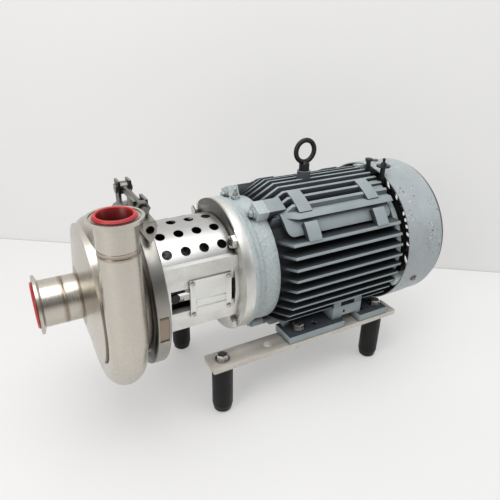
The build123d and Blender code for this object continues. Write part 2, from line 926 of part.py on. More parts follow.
def face_bolts():
    bolts = []
    for index, place in enumerate(face_bolt_places()):
        head = Rot(45 + 90 * index, 0, 0) * Rot(0, -90, 0) * hexagon(face_bolt_flats,
                                                                    face_bolt_head)
        head = Pos(flange_front, 0, 0) * head
        shank = rod(flange_front, adapter_end + face_bolt_reach, face_bolt_radius)
        bolts.append(place * (head + shank))
    return group_of(bolts)


def guard():
    inside = guard_radius - guard_sheet
    sheet = turned((guard_front, inside), (guard_front, guard_radius),
                   (guard_back, guard_radius), (guard_back, inside))
    sheet = sheet & block(guard_front, guard_back, -guard_radius, guard_radius, wall_top,
                          guard_radius + 1)
    for row in range(-2, 3):
        for column in range(guard_columns):
            x = guard_first_hole + column * guard_hole_pitch
            hole = post(inside - 4, guard_radius + 4, guard_hole_radius, x, 0)
            sheet = sheet - around(hole, row * guard_row_angle)
    return sheet


def cover_screw_places():
    reach_x = cover_length / 2 - cover_screw_inset
    reach_z = cover_height / 2 - cover_screw_inset
    places = []
    for side_x in (-1, 1):
        for side_z in (-1, 1):
            places.append((cover_x + side_x * reach_x, cover_centre_z + side_z * reach_z))
    return places


cover_centre_z = (window_top + window_bottom) / 2 + 0.5


def side_cover(side):
    """Flat cover over the middle of one window, with two raised ribs on its lower half."""
    outside = wall_outer + cover_thickness
    low = cover_centre_z - cover_height / 2
    plate = block(cover_x - cover_length / 2, cover_x + cover_length / 2, wall_outer, outside,
                  low, low + cover_height)
    for start, end in ((6.5, 11.5), (15.5, 20.5)):
        plate = plate + block(cover_x - cover_length / 2 + 7, cover_x + cover_length / 2 - 7,
                              outside, outside + cover_rib, low + start, low + end)
    for x, z in cover_screw_places():
        plate = plate - cross_rod(wall_outer - 1, outside + 1, cover_screw_shank + 0.3, x, z)
    if side < 0:
        plate = mirror(plate, Plane.XZ)
    return plate


def cover_screws(side):
    outside = wall_outer + cover_thickness
    screws = []
    for x, z in cover_screw_places():
        head = cross_rod(outside, outside + cover_screw_head, cover_screw_radius, x, z)
        shank = cross_rod(outside - cover_screw_length, outside, cover_screw_shank - 0.1, x, z)
        screw = head + shank
        if side < 0:
            screw = mirror(screw, Plane.XZ)
        screws.append(screw)
    return screws


# Motor

def front_bell():
    face = adapter_end
    inner = front_bearing_x + 6
    hub = bearing_outer + bearing_hub_wall
    hub_back = front_bearing_x + bearing_width + 3
    spigot = frame_bore - 0.1
    bell = turned((face - rabbet_length, bell_bore), (face - rabbet_length, rabbet_radius),
                  (face, rabbet_radius), (face, motor_flange_radius),
                  (face + bell_rim, motor_flange_radius),
                  (face + bell_rim + 1.5, bell_shoulder_radius),
                  (face + bell_rim + 8, bell_shoulder_radius),
                  (face + bell_rim + 9, bell_waist_radius),
                  (frame_front - 8, bell_waist_radius + 1.5), (frame_front, fin_root_radius),
                  (frame_front, spigot), (frame_front + bell_spigot, spigot),
                  (frame_front + bell_spigot, spigot - 6), (inner + 8, spigot - 9),
                  (inner, spigot - 17), (inner, hub), (hub_back, hub),
                  (hub_back, bearing_outer + fit_gap),
                  (front_bearing_x, bearing_outer + fit_gap), (front_bearing_x, bell_bore))
    for place in bell_bolt_places():
        boss = place * rod(bell_boss_front, frame_front, bell_boss_radius)
        bell = bell + (boss - rod(inner, frame_front + 1, spigot - 6))
    for lug in corner_lugs(bell_boss_front + 2, frame_front):
        bell = bell + lug
    for place in face_bolt_places():
        bell = bell - place * rod(face - 1, face + face_bolt_reach + 1, face_bolt_radius + fit_gap)
    for place in bell_bolt_places():
        bell = bell - place * rod(bell_boss_front - 1, frame_front + 1,
                                  bell_bolt_radius + fit_gap)
    collar = post(bell_waist_radius - 3, nipple_seat, nipple_radius + 3, nipple_x, nipple_y)
    return bell + collar - post(nipple_seat - 3, nipple_seat + 1, nipple_radius - 0.6,
                                nipple_x, nipple_y)


def bell_bolt_places():
    places = []
    for side_y in (-1, 1):
        for side_z in (-1, 1):
            at = radians(bell_boss_angle)
            places.append(Pos(0, side_y * bell_boss_circle * cos(at),
                              side_z * bell_boss_circle * sin(at)))
    return places


def corner_lugs(x0, x1):
    """Square lugs round the two upper bolts of a bell, clear of the bore."""
    lugs = []
    for angle in (bell_boss_angle, 180 - bell_boss_angle):
        lug = block(x0, x1, -lug_height, -frame_bore - 3, -lug_width / 2, lug_width / 2)
        lugs.append(around(lug, -angle))
    return lugs


def bell_bolts():
    bolts = []
    for place in bell_bolt_places():
        head = Pos(bell_boss_front, 0, 0) * Rot(0, -90, 0) * hexagon(bell_bolt_flats,
                                                                    bell_bolt_head)
        shank = rod(bell_boss_front, bell_boss_front + bell_bolt_reach, bell_bolt_radius)
        bolts.append(place * (head + shank))
    return group_of(bolts)


def frame_section():
    """Cross-section of the finned frame, with its bore still filled."""
    section = Circle(frame_radius)
    for index in range(side_fin_count):
        z = side_fin_first + index * side_fin_pitch
        section = section + Pos(0, z) * Rectangle(2 * fin_radius, fin_thickness)
    for index in range(top_fin_count):
        y = (index - (top_fin_count - 1) / 2) * fin_pitch
        section = section + Pos(y, fin_radius / 2) * Rectangle(fin_thickness, fin_radius)
    depth = shaft_height - low_fin_lift
    for index in range(low_fin_count):
        y = (index - (low_fin_count - 1) / 2) * fin_pitch
        section = section + Pos(y, -depth / 2) * Rectangle(fin_thickness, depth)
    low = ledge_height - ledge_thickness
    tip = sqrt(fin_radius ** 2 - low ** 2)
    ledge = Pos(0, (ledge_height + low) / 2) * Rectangle(2 * tip, ledge_thickness)
    return (section + ledge) & Circle(fin_radius)


def fin_taper_cut(length, z0, z1):
    """Ring that tapers the front ends of the fins, kept to the fins between two heights."""
    slope = (fin_radius - fin_root_radius) / length
    start = frame_front - 1
    end = frame_front + length + 2
    far = fin_radius + 15
    ring = turned((start, fin_root_radius - slope), (start, far), (end, far),
                  (end, fin_radius + 2 * slope))
    return ring & block(start, end, -far, far, z0, z1)


def side_panels():
    """Curved panel below the ledge on each side, with a rounded lower edge."""
    x0 = frame_front + side_fin_taper
    x1 = frame_back - 6
    ring = rod(x0, x1, panel_radius) - rod(x0 - 1, x1 + 1, panel_radius - panel_sheet)
    window = block(x0, x1, -panel_radius, 0, panel_low, ledge_height + panel_round)
    window = fillet(window.edges().filter_by(Axis.Y), panel_round)
    panel = ring & (window & block(x0, x1, -panel_radius, 0, panel_low, ledge_height - 1))
    return [panel, mirror(panel, Plane.XZ)]


def pads():
    """Curved pads that bridge the fins on both shoulders of the frame."""
    pieces = []
    for x in pad_places:
        for low, high in (low_pad_angles, top_pad_angles):
            for start in (low, 180 - high):
                pieces.append(sector(pad_radius - pad_thickness, pad_radius,
                                     x - pad_width / 2, x + pad_width / 2, start, high - low))
    return pieces


def foot(side):
    """Foot of one side: a plate with four holes, webs, and a bridge with an arch."""
    top = rail_top + foot_thickness
    base = block(foot_front, foot_back, foot_inner, foot_outer, rail_top, top)
    wall = block(bridge_front, bridge_back, bridge_wall - foot_web, bridge_wall, rail_top,
                 bridge_top)
    whole = base + wall
    for x in (bridge_front, bridge_back - foot_web):
        whole = whole + foot_rib(x, bridge_wall - 1)
    for x in (foot_front + 5, foot_back - 5 - foot_web):
        whole = whole + foot_rib(x, foot_inner + 9)
    whole = whole - block(arch_x - foot_arch / 2, arch_x + foot_arch / 2, foot_inner - 1,
                          foot_outer + 1, rail_top - 1, rail_top + foot_arch_height)
    whole = whole - cross_rod(foot_inner, foot_outer, 2, bridge_hole_x, bridge_hole_z)
    whole = whole - block(bridge_front + 12, bridge_back - 12, foot_inner - 1, foot_outer,
                          bridge_slot_z - 3, bridge_slot_z + 3)
    for x in (foot_bolt_x, foot_rear_x, foot_bolt_x + foot_hole_step,
              foot_rear_x - foot_hole_step):
        whole = whole - post(rail_top - 1, top + 1, foot_hole_radius, x, foot_bolt_y)
    if side < 0:
        whole = mirror(whole, Plane.XZ)
    return whole


def foot_rib(x, outer):
    outline = make_face(Polyline((foot_inner, rail_top + 1), (outer, rail_top + 1),
                                 (outer, -50), (foot_inner + 4, -45), (foot_inner, -60),
                                 close=True))
    return extrude(Plane.YZ.offset(x) * outline, foot_web)


def motor_frame():
    ribs = extrude(Plane.YZ.offset(frame_front) * frame_section(), frame_back - frame_front)
    frame = ribs - fin_taper_cut(side_fin_taper, -fin_radius - 1, ledge_height - ledge_thickness)
    frame = frame - fin_taper_cut(top_fin_taper, ledge_height - ledge_thickness, fin_radius + 1)
    for piece in side_panels() + pads():
        frame = frame + piece
    for side in (-1, 1):
        frame = frame + foot(side)
    frame = frame + post(frame_bore - 5, eye_boss_top, eye_boss_radius, eye_x, 0)
    frame = frame + block(box_x - box_length / 2, box_x + box_length / 2, frame_bore / 2,
                          box_pad, -box_height / 2, box_height / 2)
    for place in bell_bolt_places():
        frame = frame + place * rod(frame_front, frame_front + front_lug_length, bell_boss_radius)
    for lug in corner_lugs(frame_front, frame_front + front_lug_length):
        frame = frame + lug
    for lug in corner_lugs(frame_back - rear_lug_length, frame_back):
        frame = frame + lug
    frame = frame - rod(frame_front - 1, frame_back + 1, frame_bore)
    for place in bell_bolt_places():
        frame = frame - place * rod(frame_front - 1, bell_boss_front + bell_bolt_reach + 1,
                                    bell_bolt_radius + fit_gap)
    frame = frame - post(eye_boss_top - eye_shank_depth, eye_boss_top + 1,
                         eye_shank_radius + fit_gap, eye_x, 0)
    return frame - cross_rod(frame_bore - 10, box_pad + 1, entry_radius, box_x, 0)


def stator():
    inside = rotor_radius + air_gap
    outside = frame_bore - 0.05
    back = rotor_front + rotor_length
    return turned((rotor_front, inside), (rotor_front, outside), (back, outside), (back, inside))


def windings():
    coils = []
    for x in (rotor_front - winding_length, rotor_front + rotor_length):
        end = x + winding_length
        coils.append(turned((x, winding_bore), (x, winding_radius - 5), (x + 5, winding_radius),
                            (end - 5, winding_radius), (end, winding_radius - 5),
                            (end, winding_bore)))
    return group_of(coils)


def rotor():
    back = rotor_front + rotor_length
    core = rod(rotor_front, back, rotor_radius)
    rings = rod(rotor_front - 8, back + 8, rotor_radius - 6)
    return core + rings - rod(rotor_front - 9, back + 9, rotor_seat_radius + fit_gap)


def motor_shaft():
    rear = rear_bearing_x + bearing_width
    end = fan_x + fan_width
    seat = bearing_inner - fit_gap
    shaft = turned((shaft_tip, 0), (shaft_tip, motor_shaft_radius),
                   (front_bearing_x - 8, motor_shaft_radius), (front_bearing_x - 8, seat),
                   (front_bearing_x + bearing_width, seat),
                   (front_bearing_x + bearing_width, 15), (rotor_front - 10, 15),
                   (rotor_front - 10, rotor_seat_radius),
                   (rotor_front + rotor_length + 10, rotor_seat_radius),
                   (rotor_front + rotor_length + 10, 15), (rear_bearing_x, 15),
                   (rear_bearing_x, seat), (rear, seat), (rear, fan_shaft_radius),
                   (end, fan_shaft_radius), (end, 0))
    return shaft - key_block(0)


def key_block(gap):
    half = key_width / 2
    start = shaft_tip + 6
    return block(start, start + key_length, -half, half, motor_shaft_radius - half + gap,
                 motor_shaft_radius + half)


def bearing(x):
    inside = bearing_inner
    outside = bearing_outer
    step = bearing_width * 0.2
    back = x + bearing_width
    low = inside + 3.5
    high = outside - 3.5
    return turned((x, inside), (x, low), (x + step, low), (x + step, high), (x, high),
                  (x, outside), (back, outside), (back, high), (back - step, high),
                  (back - step, low), (back, low), (back, inside))


def rear_bell():
    hub = bearing_outer + bearing_hub_wall
    hub_back = rear_bearing_x + bearing_width + 1
    spigot = frame_bore - 0.1
    bell = turned((rear_bearing_x - 2, bell_bore + 3), (rear_bearing_x - 2, hub),
                  (frame_back, hub), (frame_back, spigot - 6), (frame_back - bell_spigot, spigot - 6),
                  (frame_back - bell_spigot, spigot), (frame_back, spigot),
                  (frame_back, rear_rim_radius), (frame_back + rear_rim, rear_rim_radius),
                  (frame_back + rear_rim, hub), (hub_back, hub),
                  (hub_back, bell_bore), (hub_back - 1, bell_bore),
                  (hub_back - 1, bearing_outer + fit_gap),
                  (rear_bearing_x, bearing_outer + fit_gap), (rear_bearing_x, bell_bore + 3))
    for angle in cowl_screw_angles():
        bell = bell + around(cowl_lug(), angle)
    for y in (grease_post_y, relief_post_y):
        bell = bell - post(post_foot, cowl_radius, post_radius + fit_gap, post_x, y)
    return bell - rod(cowl_front, cowl_back, fan_radius + 2)


def cowl_screw_angles():
    return [cowl_screw_angle + index * cowl_screw_gap for index in range(cowl_screws_used)]


def cowl_lug():
    """Lug that reaches back under the fan cover and takes one of its screws."""
    outside = cowl_radius - cowl_sheet
    lug = block(frame_back, cowl_screw_x + 7, -outside, 10 - outside, -cowl_lug_width / 2,
                cowl_lug_width / 2)
    lug = lug + block(frame_back, frame_back + rear_rim, -outside, 2 - rear_rim_radius,
                      -cowl_lug_width / 2, cowl_lug_width / 2)
    lug = lug & rod(frame_back, cowl_back, outside)
    return lug - cross_rod(-cowl_radius, 12 - cowl_radius, 2.5, cowl_screw_x, 0)


def fan():
    bore = fan_shaft_radius + fit_gap
    back = fan_x + fan_width
    hub = rod(fan_x, back, fan_hub_radius)
    disc = rod(fan_x, fan_x + fan_blade, fan_radius)
    wheel = hub + disc
    for index in range(fan_blades):
        wing = block(fan_x, back - 2, -fan_blade / 2, fan_blade / 2, 0, fan_radius)
        wheel = wheel + around(wing, index * 360 / fan_blades)
    return wheel - rod(fan_x - 1, back + 1, bore)


def fan_cover():
    step = 0.8
    corner = cowl_corner
    outer = cowl_radius - step
    sheet = cowl_sheet
    shell = turned((cowl_front, cowl_radius), (cowl_crease - 1, cowl_radius),
                   (cowl_crease, outer), (cowl_back - corner, outer),
                   (cowl_back - corner * 0.3, outer - corner * 0.3),
                   (cowl_back, outer - corner), (cowl_back, 0), (cowl_back - sheet, 0),
                   (cowl_back - sheet, outer - corner - 0.6),
                   (cowl_back - corner * 0.3 - sheet * 0.9, outer - corner * 0.3 - sheet * 0.9),
                   (cowl_back - corner - 0.6, outer - sheet), (cowl_crease, outer - sheet),
                   (cowl_crease - 1, cowl_radius - sheet), (cowl_front, cowl_radius - sheet))
    for index in range(cowl_slots):
        slot = block(cowl_back - 5, cowl_back + 1, -cowl_slot_width / 2, cowl_slot_width / 2,
                     cowl_slot_inner, cowl_slot_outer)
        shell = shell - around(slot, index * 360 / cowl_slots)
    for angle in cowl_screw_angles():
        hole = cross_rod(-cowl_radius - 1, 4 - cowl_radius, 2.7, cowl_screw_x, 0)
        shell = shell - around(hole, angle)
    return shell


def cowl_screws():
    screws = []
    for angle in cowl_screw_angles():
        head = cross_rod(-cowl_radius - 2.4, -cowl_radius, cowl_screw_radius, cowl_screw_x, 0)
        shank = cross_rod(-cowl_radius, 9 - cowl_radius, 2.4, cowl_screw_x, 0)
        screws.append(around(head + shank, angle))
    return group_of(screws)


def eye_bolt():
    ring = Pos(eye_x, 0, eye_ring_height) * Rot(90, 0, 0) * Torus(eye_ring_radius, eye_ring_wire)
    ring_low = eye_ring_height - eye_ring_radius
    collar = post(eye_boss_top, ring_low - 2, eye_collar_radius, eye_x, 0)
    neck = Pos(eye_x, 0, ring_low - 2) * Cone(eye_collar_radius - 1, eye_ring_wire, 3,
                                              align=FROM_END)
    shank = post(eye_boss_top - eye_shank_depth + 1, eye_boss_top, eye_shank_radius, eye_x, 0)
    return ring + collar + neck + shank


def grease_nipple(x, y, seat, depth):
    """Grease nipple with a hexagon that sits on its seat and a shank below it."""
    body = post(seat - depth, seat + 1, nipple_radius - 0.65, x, y)
    nut = Pos(x, y, seat) * hexagon(2 * nipple_radius + 1.4, 3.4)
    head = post(seat + 3, seat + 7, nipple_radius - 0.9, x, y)
    ball = Pos(x, y, seat + 7.6) * Sphere(nipple_radius - 0.6)
    return body + nut + head + ball


def front_grease_fitting():
    return grease_nipple(nipple_x, nipple_y, nipple_seat, 2.5)


def rear_grease_fitting():
    """Extension tube with a washer and a nipple on top, screwed into the rear bell."""
    tube = post(post_foot, post_seat, post_radius, post_x, grease_post_y)
    washer = post(post_seat, post_seat + 1.8, post_washer_radius, post_x, grease_post_y)
    return tube + washer + grease_nipple(post_x, grease_post_y, post_seat + 1.8, 2)


def rear_relief_plug():
    """Extension tube with a flat hexagon plug on top, beside the grease fitting."""
    tube = post(post_foot, post_seat + 0.5, post_radius, post_x, relief_post_y)
    cap = Pos(post_x, relief_post_y, post_seat + 0.5) * hexagon(relief_flats, 3.6)
    return tube + cap


def conduit_box():
    outside = box_pad + box_depth
    half_l = box_length / 2
    half_h = box_height / 2
    body = block(box_x - half_l, box_x + half_l, box_pad, outside, -half_h, half_h)
    room = block(box_x - half_l + box_wall, box_x + half_l - box_wall, box_pad + box_wall,
                 outside + 1, box_wall - half_h, half_h - box_wall)
    box = body - room
    for x, z in box_screw_places():
        box = box + cross_rod(box_pad, outside, 5, x, z)
        box = box - cross_rod(outside - 10, outside + 1, 2.1, x, z)
    box = box - cross_rod(box_pad - 1, box_pad + box_wall + 1, entry_radius - 2, box_x, 0)
    return box - post(-half_h - 1, box_wall - half_h + 1, entry_radius, box_x, box_pad + box_depth / 2)


def box_screw_places():
    places = []
    for side_x in (-1, 1):
        for side_z in (-1, 1):
            places.append((box_x + side_x * (box_length / 2 - box_screw_inset),
                           side_z * (box_height / 2 - box_screw_inset)))
    return places


def conduit_gasket():
    front = box_pad + box_depth
    half_l = box_length / 2
    half_h = box_height / 2
    ring = block(box_x - half_l, box_x + half_l, front, front + box_gasket, -half_h, half_h)
    room = block(box_x - half_l + box_wall, box_x + half_l - box_wall, front - 1,
                 front + box_gasket + 1, box_wall - half_h, half_h - box_wall)
    ring = ring - room
    for x, z in box_screw_places():
        ring = ring + cross_rod(front, front + box_gasket, 5, x, z)
        ring = ring - cross_rod(front - 1, front + box_gasket + 1, 2.2, x, z)
    return ring


def conduit_lid():
    front = box_pad + box_depth + box_gasket
    half_l = box_length / 2 + box_lid_skirt
    half_h = box_height / 2 + box_lid_skirt
    lid = block(box_x - half_l, box_x + half_l, front, front + box_lid, -half_h, half_h)
    for x, z in box_screw_places():
        lid = lid - cross_rod(front - 1, front + box_lid + 1, 2.3, x, z)
    return lid


def conduit_screws():
    seat = box_pad + box_depth + box_gasket + box_lid
    screws = []
    for x, z in box_screw_places():
        head = cross_rod(seat, seat + box_screw_head, box_screw_head_radius, x, z)
        screws.append(head + cross_rod(seat - box_screw_length, seat, box_screw_radius, x, z))
    return group_of(screws)


# Rails and legs

def rail(side):
    y = side * foot_bolt_y
    bar = block(rail_front, rail_back, y - rail_width / 2, y + rail_width / 2, rail_bottom,
                rail_top)
    bar = chamfer(bar.edges().filter_by(Axis.Z), 1.2)
    for x in rail_holes:
        bar = bar - post(rail_bottom - 1, rail_top + 1, rail_hole_radius, x, y)
    for x in (leg_x, foot_bolt_x, foot_rear_x):
        bar = bar - post(rail_bottom - 1, rail_top + 1, base_bolt_radius + 0.3, x, y)
    return bar


def leg(x, side):
    """Black sleeved leg with a tapered foot, screwed up under the rail."""
    bottom = leg_bottom
    sleeve_top = rail_bottom
    shape = make_face(Polyline((0, bottom), (leg_foot_radius, bottom),
                               (leg_foot_radius + 2.5, bottom + 2.5),
                               (leg_radius, bottom + leg_foot_taper),
                               (leg_radius, sleeve_top), (0, sleeve_top), close=True))
    body = revolve(Plane.XZ * shape, Axis.Z)
    body = Pos(x, side * foot_bolt_y, 0) * body
    return body - post(sleeve_top - leg_socket, sleeve_top + 1, base_bolt_radius + fit_gap, x,
                       side * foot_bolt_y)


def base_bolt(x, y, seat, tip):
    """Hex bolt with a washer, its head above the seat and its shank down to the tip."""
    washer = post(seat, seat + washer_thickness, washer_radius, x, y)
    head = Pos(x, y, seat + washer_thickness) * hexagon(base_bolt_flats, base_bolt_head)
    return washer + head + post(tip, seat, base_bolt_radius, x, y)


def foot_bolts():
    seat = rail_top + foot_thickness
    bolts = []
    for side in (-1, 1):
        y = side * foot_bolt_y
        bolts.append(base_bolt(foot_bolt_x, y, seat, rail_bottom - base_nut_height - 6))
        bolts.append(base_bolt(foot_rear_x, y, seat, rail_bottom - leg_socket + 2))
    return group_of(bolts)


def foot_nuts():
    low = rail_bottom - base_nut_height
    nuts = []
    for side in (-1, 1):
        y = side * foot_bolt_y
        nut = Pos(foot_bolt_x, y, low) * hexagon(base_bolt_flats, base_nut_height)
        nuts.append(nut - post(low - 1, rail_bottom + 1, base_bolt_radius + fit_gap,
                               foot_bolt_x, y))
    return group_of(nuts)


def leg_bolts():
    bolts = []
    for side in (-1, 1):
        bolts.append(base_bolt(leg_x, side * foot_bolt_y, rail_top,
                               rail_bottom - leg_socket + 2))
    return group_of(bolts)


def all_parts():
    """Every node of the pump, by name."""
    return {
        "pump_casing": pump_casing(),
        "suction_ferrule": suction_ferrule(),
        "discharge_ferrule": discharge_ferrule(),
        "suction_plug": port_plug(suction_tube_radius),
        "discharge_plug": at_discharge(port_plug(discharge_tube_radius)),
        "casing_gasket": gasket_ring(casing_face),
        "backplate": backplate(),
        "impeller": impeller(),
        "impeller_nut": impeller_nut(),
        "stub_shaft": stub_shaft(),
        "seal_seat": seal_seat(),
        "seal_ring": seal_ring(),
        "seal_spring": seal_spring(),
        "seal_collar": seal_collar(),
        "seal_gland": seal_gland(),
        "flush_caps": flush_caps(),
        "clamp_near_half": near_half(),
        "clamp_far_half": far_half(),
        "clamp_hinge_pin": hinge_pin(),
        "clamp_bolt": clamp_bolt(),
        "clamp_bolt_pin": bolt_pin(),
        "clamp_nut": clamp_nut(),
        "adapter": adapter(),
        "face_bolts": face_bolts(),
        "guard": guard(),
        "side_cover_near": side_cover(-1),
        "side_cover_far": side_cover(1),
        "side_cover_screws": group_of(cover_screws(-1) + cover_screws(1)),
        "front_bell": front_bell(),
        "bell_bolts": bell_bolts(),
        "motor_frame": motor_frame(),
        "stator": stator(),
        "windings": windings(),
        "rotor": rotor(),
        "motor_shaft": motor_shaft(),
        "shaft_key": key_block(0.02),
        "front_bearing": bearing(front_bearing_x),
        "rear_bearing": bearing(rear_bearing_x),
        "rear_bell": rear_bell(),
        "fan": fan(),
        "fan_cover": fan_cover(),
        "fan_cover_screws": cowl_screws(),
        "eye_bolt": eye_bolt(),
        "front_grease_fitting": front_grease_fitting(),
        "rear_grease_fitting": rear_grease_fitting(),
        "rear_relief_plug": rear_relief_plug(),
        "conduit_box": conduit_box(),
        "conduit_gasket": conduit_gasket(),
        "conduit_lid": conduit_lid(),
        "conduit_screws": conduit_screws(),
        "rail_near": rail(-1),
        "rail_far": rail(1),
        "leg_front_near": leg(leg_x, -1),
        "leg_front_far": leg(leg_x, 1),
        "leg_rear_near": leg(foot_rear_x, -1),
        "leg_rear_far": leg(foot_rear_x, 1),
        "foot_bolts": foot_bolts(),
        "foot_nuts": foot_nuts(),
        "leg_bolts": leg_bolts(),
    }


if __name__ == "__main__":
    os.makedirs("parts", exist_ok=True)
    for name, shape in all_parts().items():
        export_step(shape, f"parts/{name}.step")
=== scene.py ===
"""Finishes, softened edges, fasteners, plugs and studio of the sanitary centrifugal pump."""

import json
import math

import bmesh
import bpy
from mathutils import Matrix, Vector


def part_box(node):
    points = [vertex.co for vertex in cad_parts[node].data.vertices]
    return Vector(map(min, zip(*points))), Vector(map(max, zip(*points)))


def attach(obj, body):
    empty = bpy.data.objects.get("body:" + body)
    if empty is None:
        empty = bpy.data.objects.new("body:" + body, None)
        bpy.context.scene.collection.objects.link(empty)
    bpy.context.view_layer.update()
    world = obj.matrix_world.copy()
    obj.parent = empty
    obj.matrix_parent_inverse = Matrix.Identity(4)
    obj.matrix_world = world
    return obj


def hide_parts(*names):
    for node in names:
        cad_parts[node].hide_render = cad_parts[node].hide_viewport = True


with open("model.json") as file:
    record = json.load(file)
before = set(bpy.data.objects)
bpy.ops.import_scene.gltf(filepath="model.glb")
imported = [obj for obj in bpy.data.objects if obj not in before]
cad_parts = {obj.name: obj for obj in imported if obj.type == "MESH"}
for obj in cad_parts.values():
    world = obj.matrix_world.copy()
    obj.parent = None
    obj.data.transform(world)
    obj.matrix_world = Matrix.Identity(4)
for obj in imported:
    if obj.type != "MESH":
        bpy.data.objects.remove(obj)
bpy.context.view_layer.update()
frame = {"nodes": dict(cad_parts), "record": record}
nodes = frame["nodes"]

# Places and sizes shared with the solids, in metres
MM = 0.001
SCROLL_X = 71.05 * MM
SCROLL_Y = -96.5 * MM
PLUG_WELL = {"suction_plug": 23.45 * MM, "discharge_plug": 17.1 * MM}

# Places that the finishes read, in metres: heights are above the shaft, radii are from it.
# Painted shade on the clamp's hinge starts and is full at these heights, and lies beyond this place
# sideways
HINGE_SHADE_START = 94.0 * MM
HINGE_SHADE_FULL = 101.0 * MM
HINGE_SHADE_SIDE = -50.0 * MM
# Floor of the recess in the near clamp half, its middle along the shaft and its level
RECESS_RADIUS = 93.6 * MM
RECESS_MIDDLE = 108.5 * MM
RECESS_HALF_WIDTH = 5.1 * MM
RECESS_LEVEL = -9.0 * MM
RECESS_HALF_LENGTH = 15.8 * MM
# Open bay of the adapter
BAY_RADIUS = 55.6 * MM
BAY_HALF_WIDTH = 50.2 * MM
BAY_BOTTOM = -37.5 * MM
BAY_FRONT = 122.5 * MM
BAY_BACK = 207.5 * MM
# Inner face of the guard, inside which the guard is painted with shade
GUARD_INSIDE = 65.2 * MM
# Top of the motor's feet, heights over which the painted shade on the fin flanks grows lighter, and
# the depths of its fins
FOOT_LEVEL = -62.0 * MM
FLANK_LIGHTENING_HEIGHTS = (30.0 * MM, 90.0 * MM)
FIN_VALLEY = (80.5 * MM, 91.5 * MM)
FIN_TIP = (90.5 * MM, 95.0 * MM)
# Inner face of the fan cover and its end, inside which the cover is painted with shade
COVER_INSIDE_RADIUS = 97.4 * MM
COVER_INSIDE_BACK = 500.0 * MM

# Studio, in metres; the wall stands across the direction WALL_TOWARDS
FLOOR_Z = -164.7 * MM
FLOOR_HALF = 9
WALL_TOWARDS = (0.577, 0.817)
WALL_REACH = 0.475
WALL_HALF = 4
WALL_HEIGHT = 2.6

# Camera, fitted to the photograph; angles in radians, focal length as a share of the width
CAMERA_PLACE = (-0.0109, -0.4804, 0.27828)
CAMERA_YAW = 0.5080
CAMERA_PITCH = 0.4563
CAMERA_ROLL = 0.0200
FOCAL_SHARE = 478.26 / 500
SENSOR = 36.0


# Node helpers

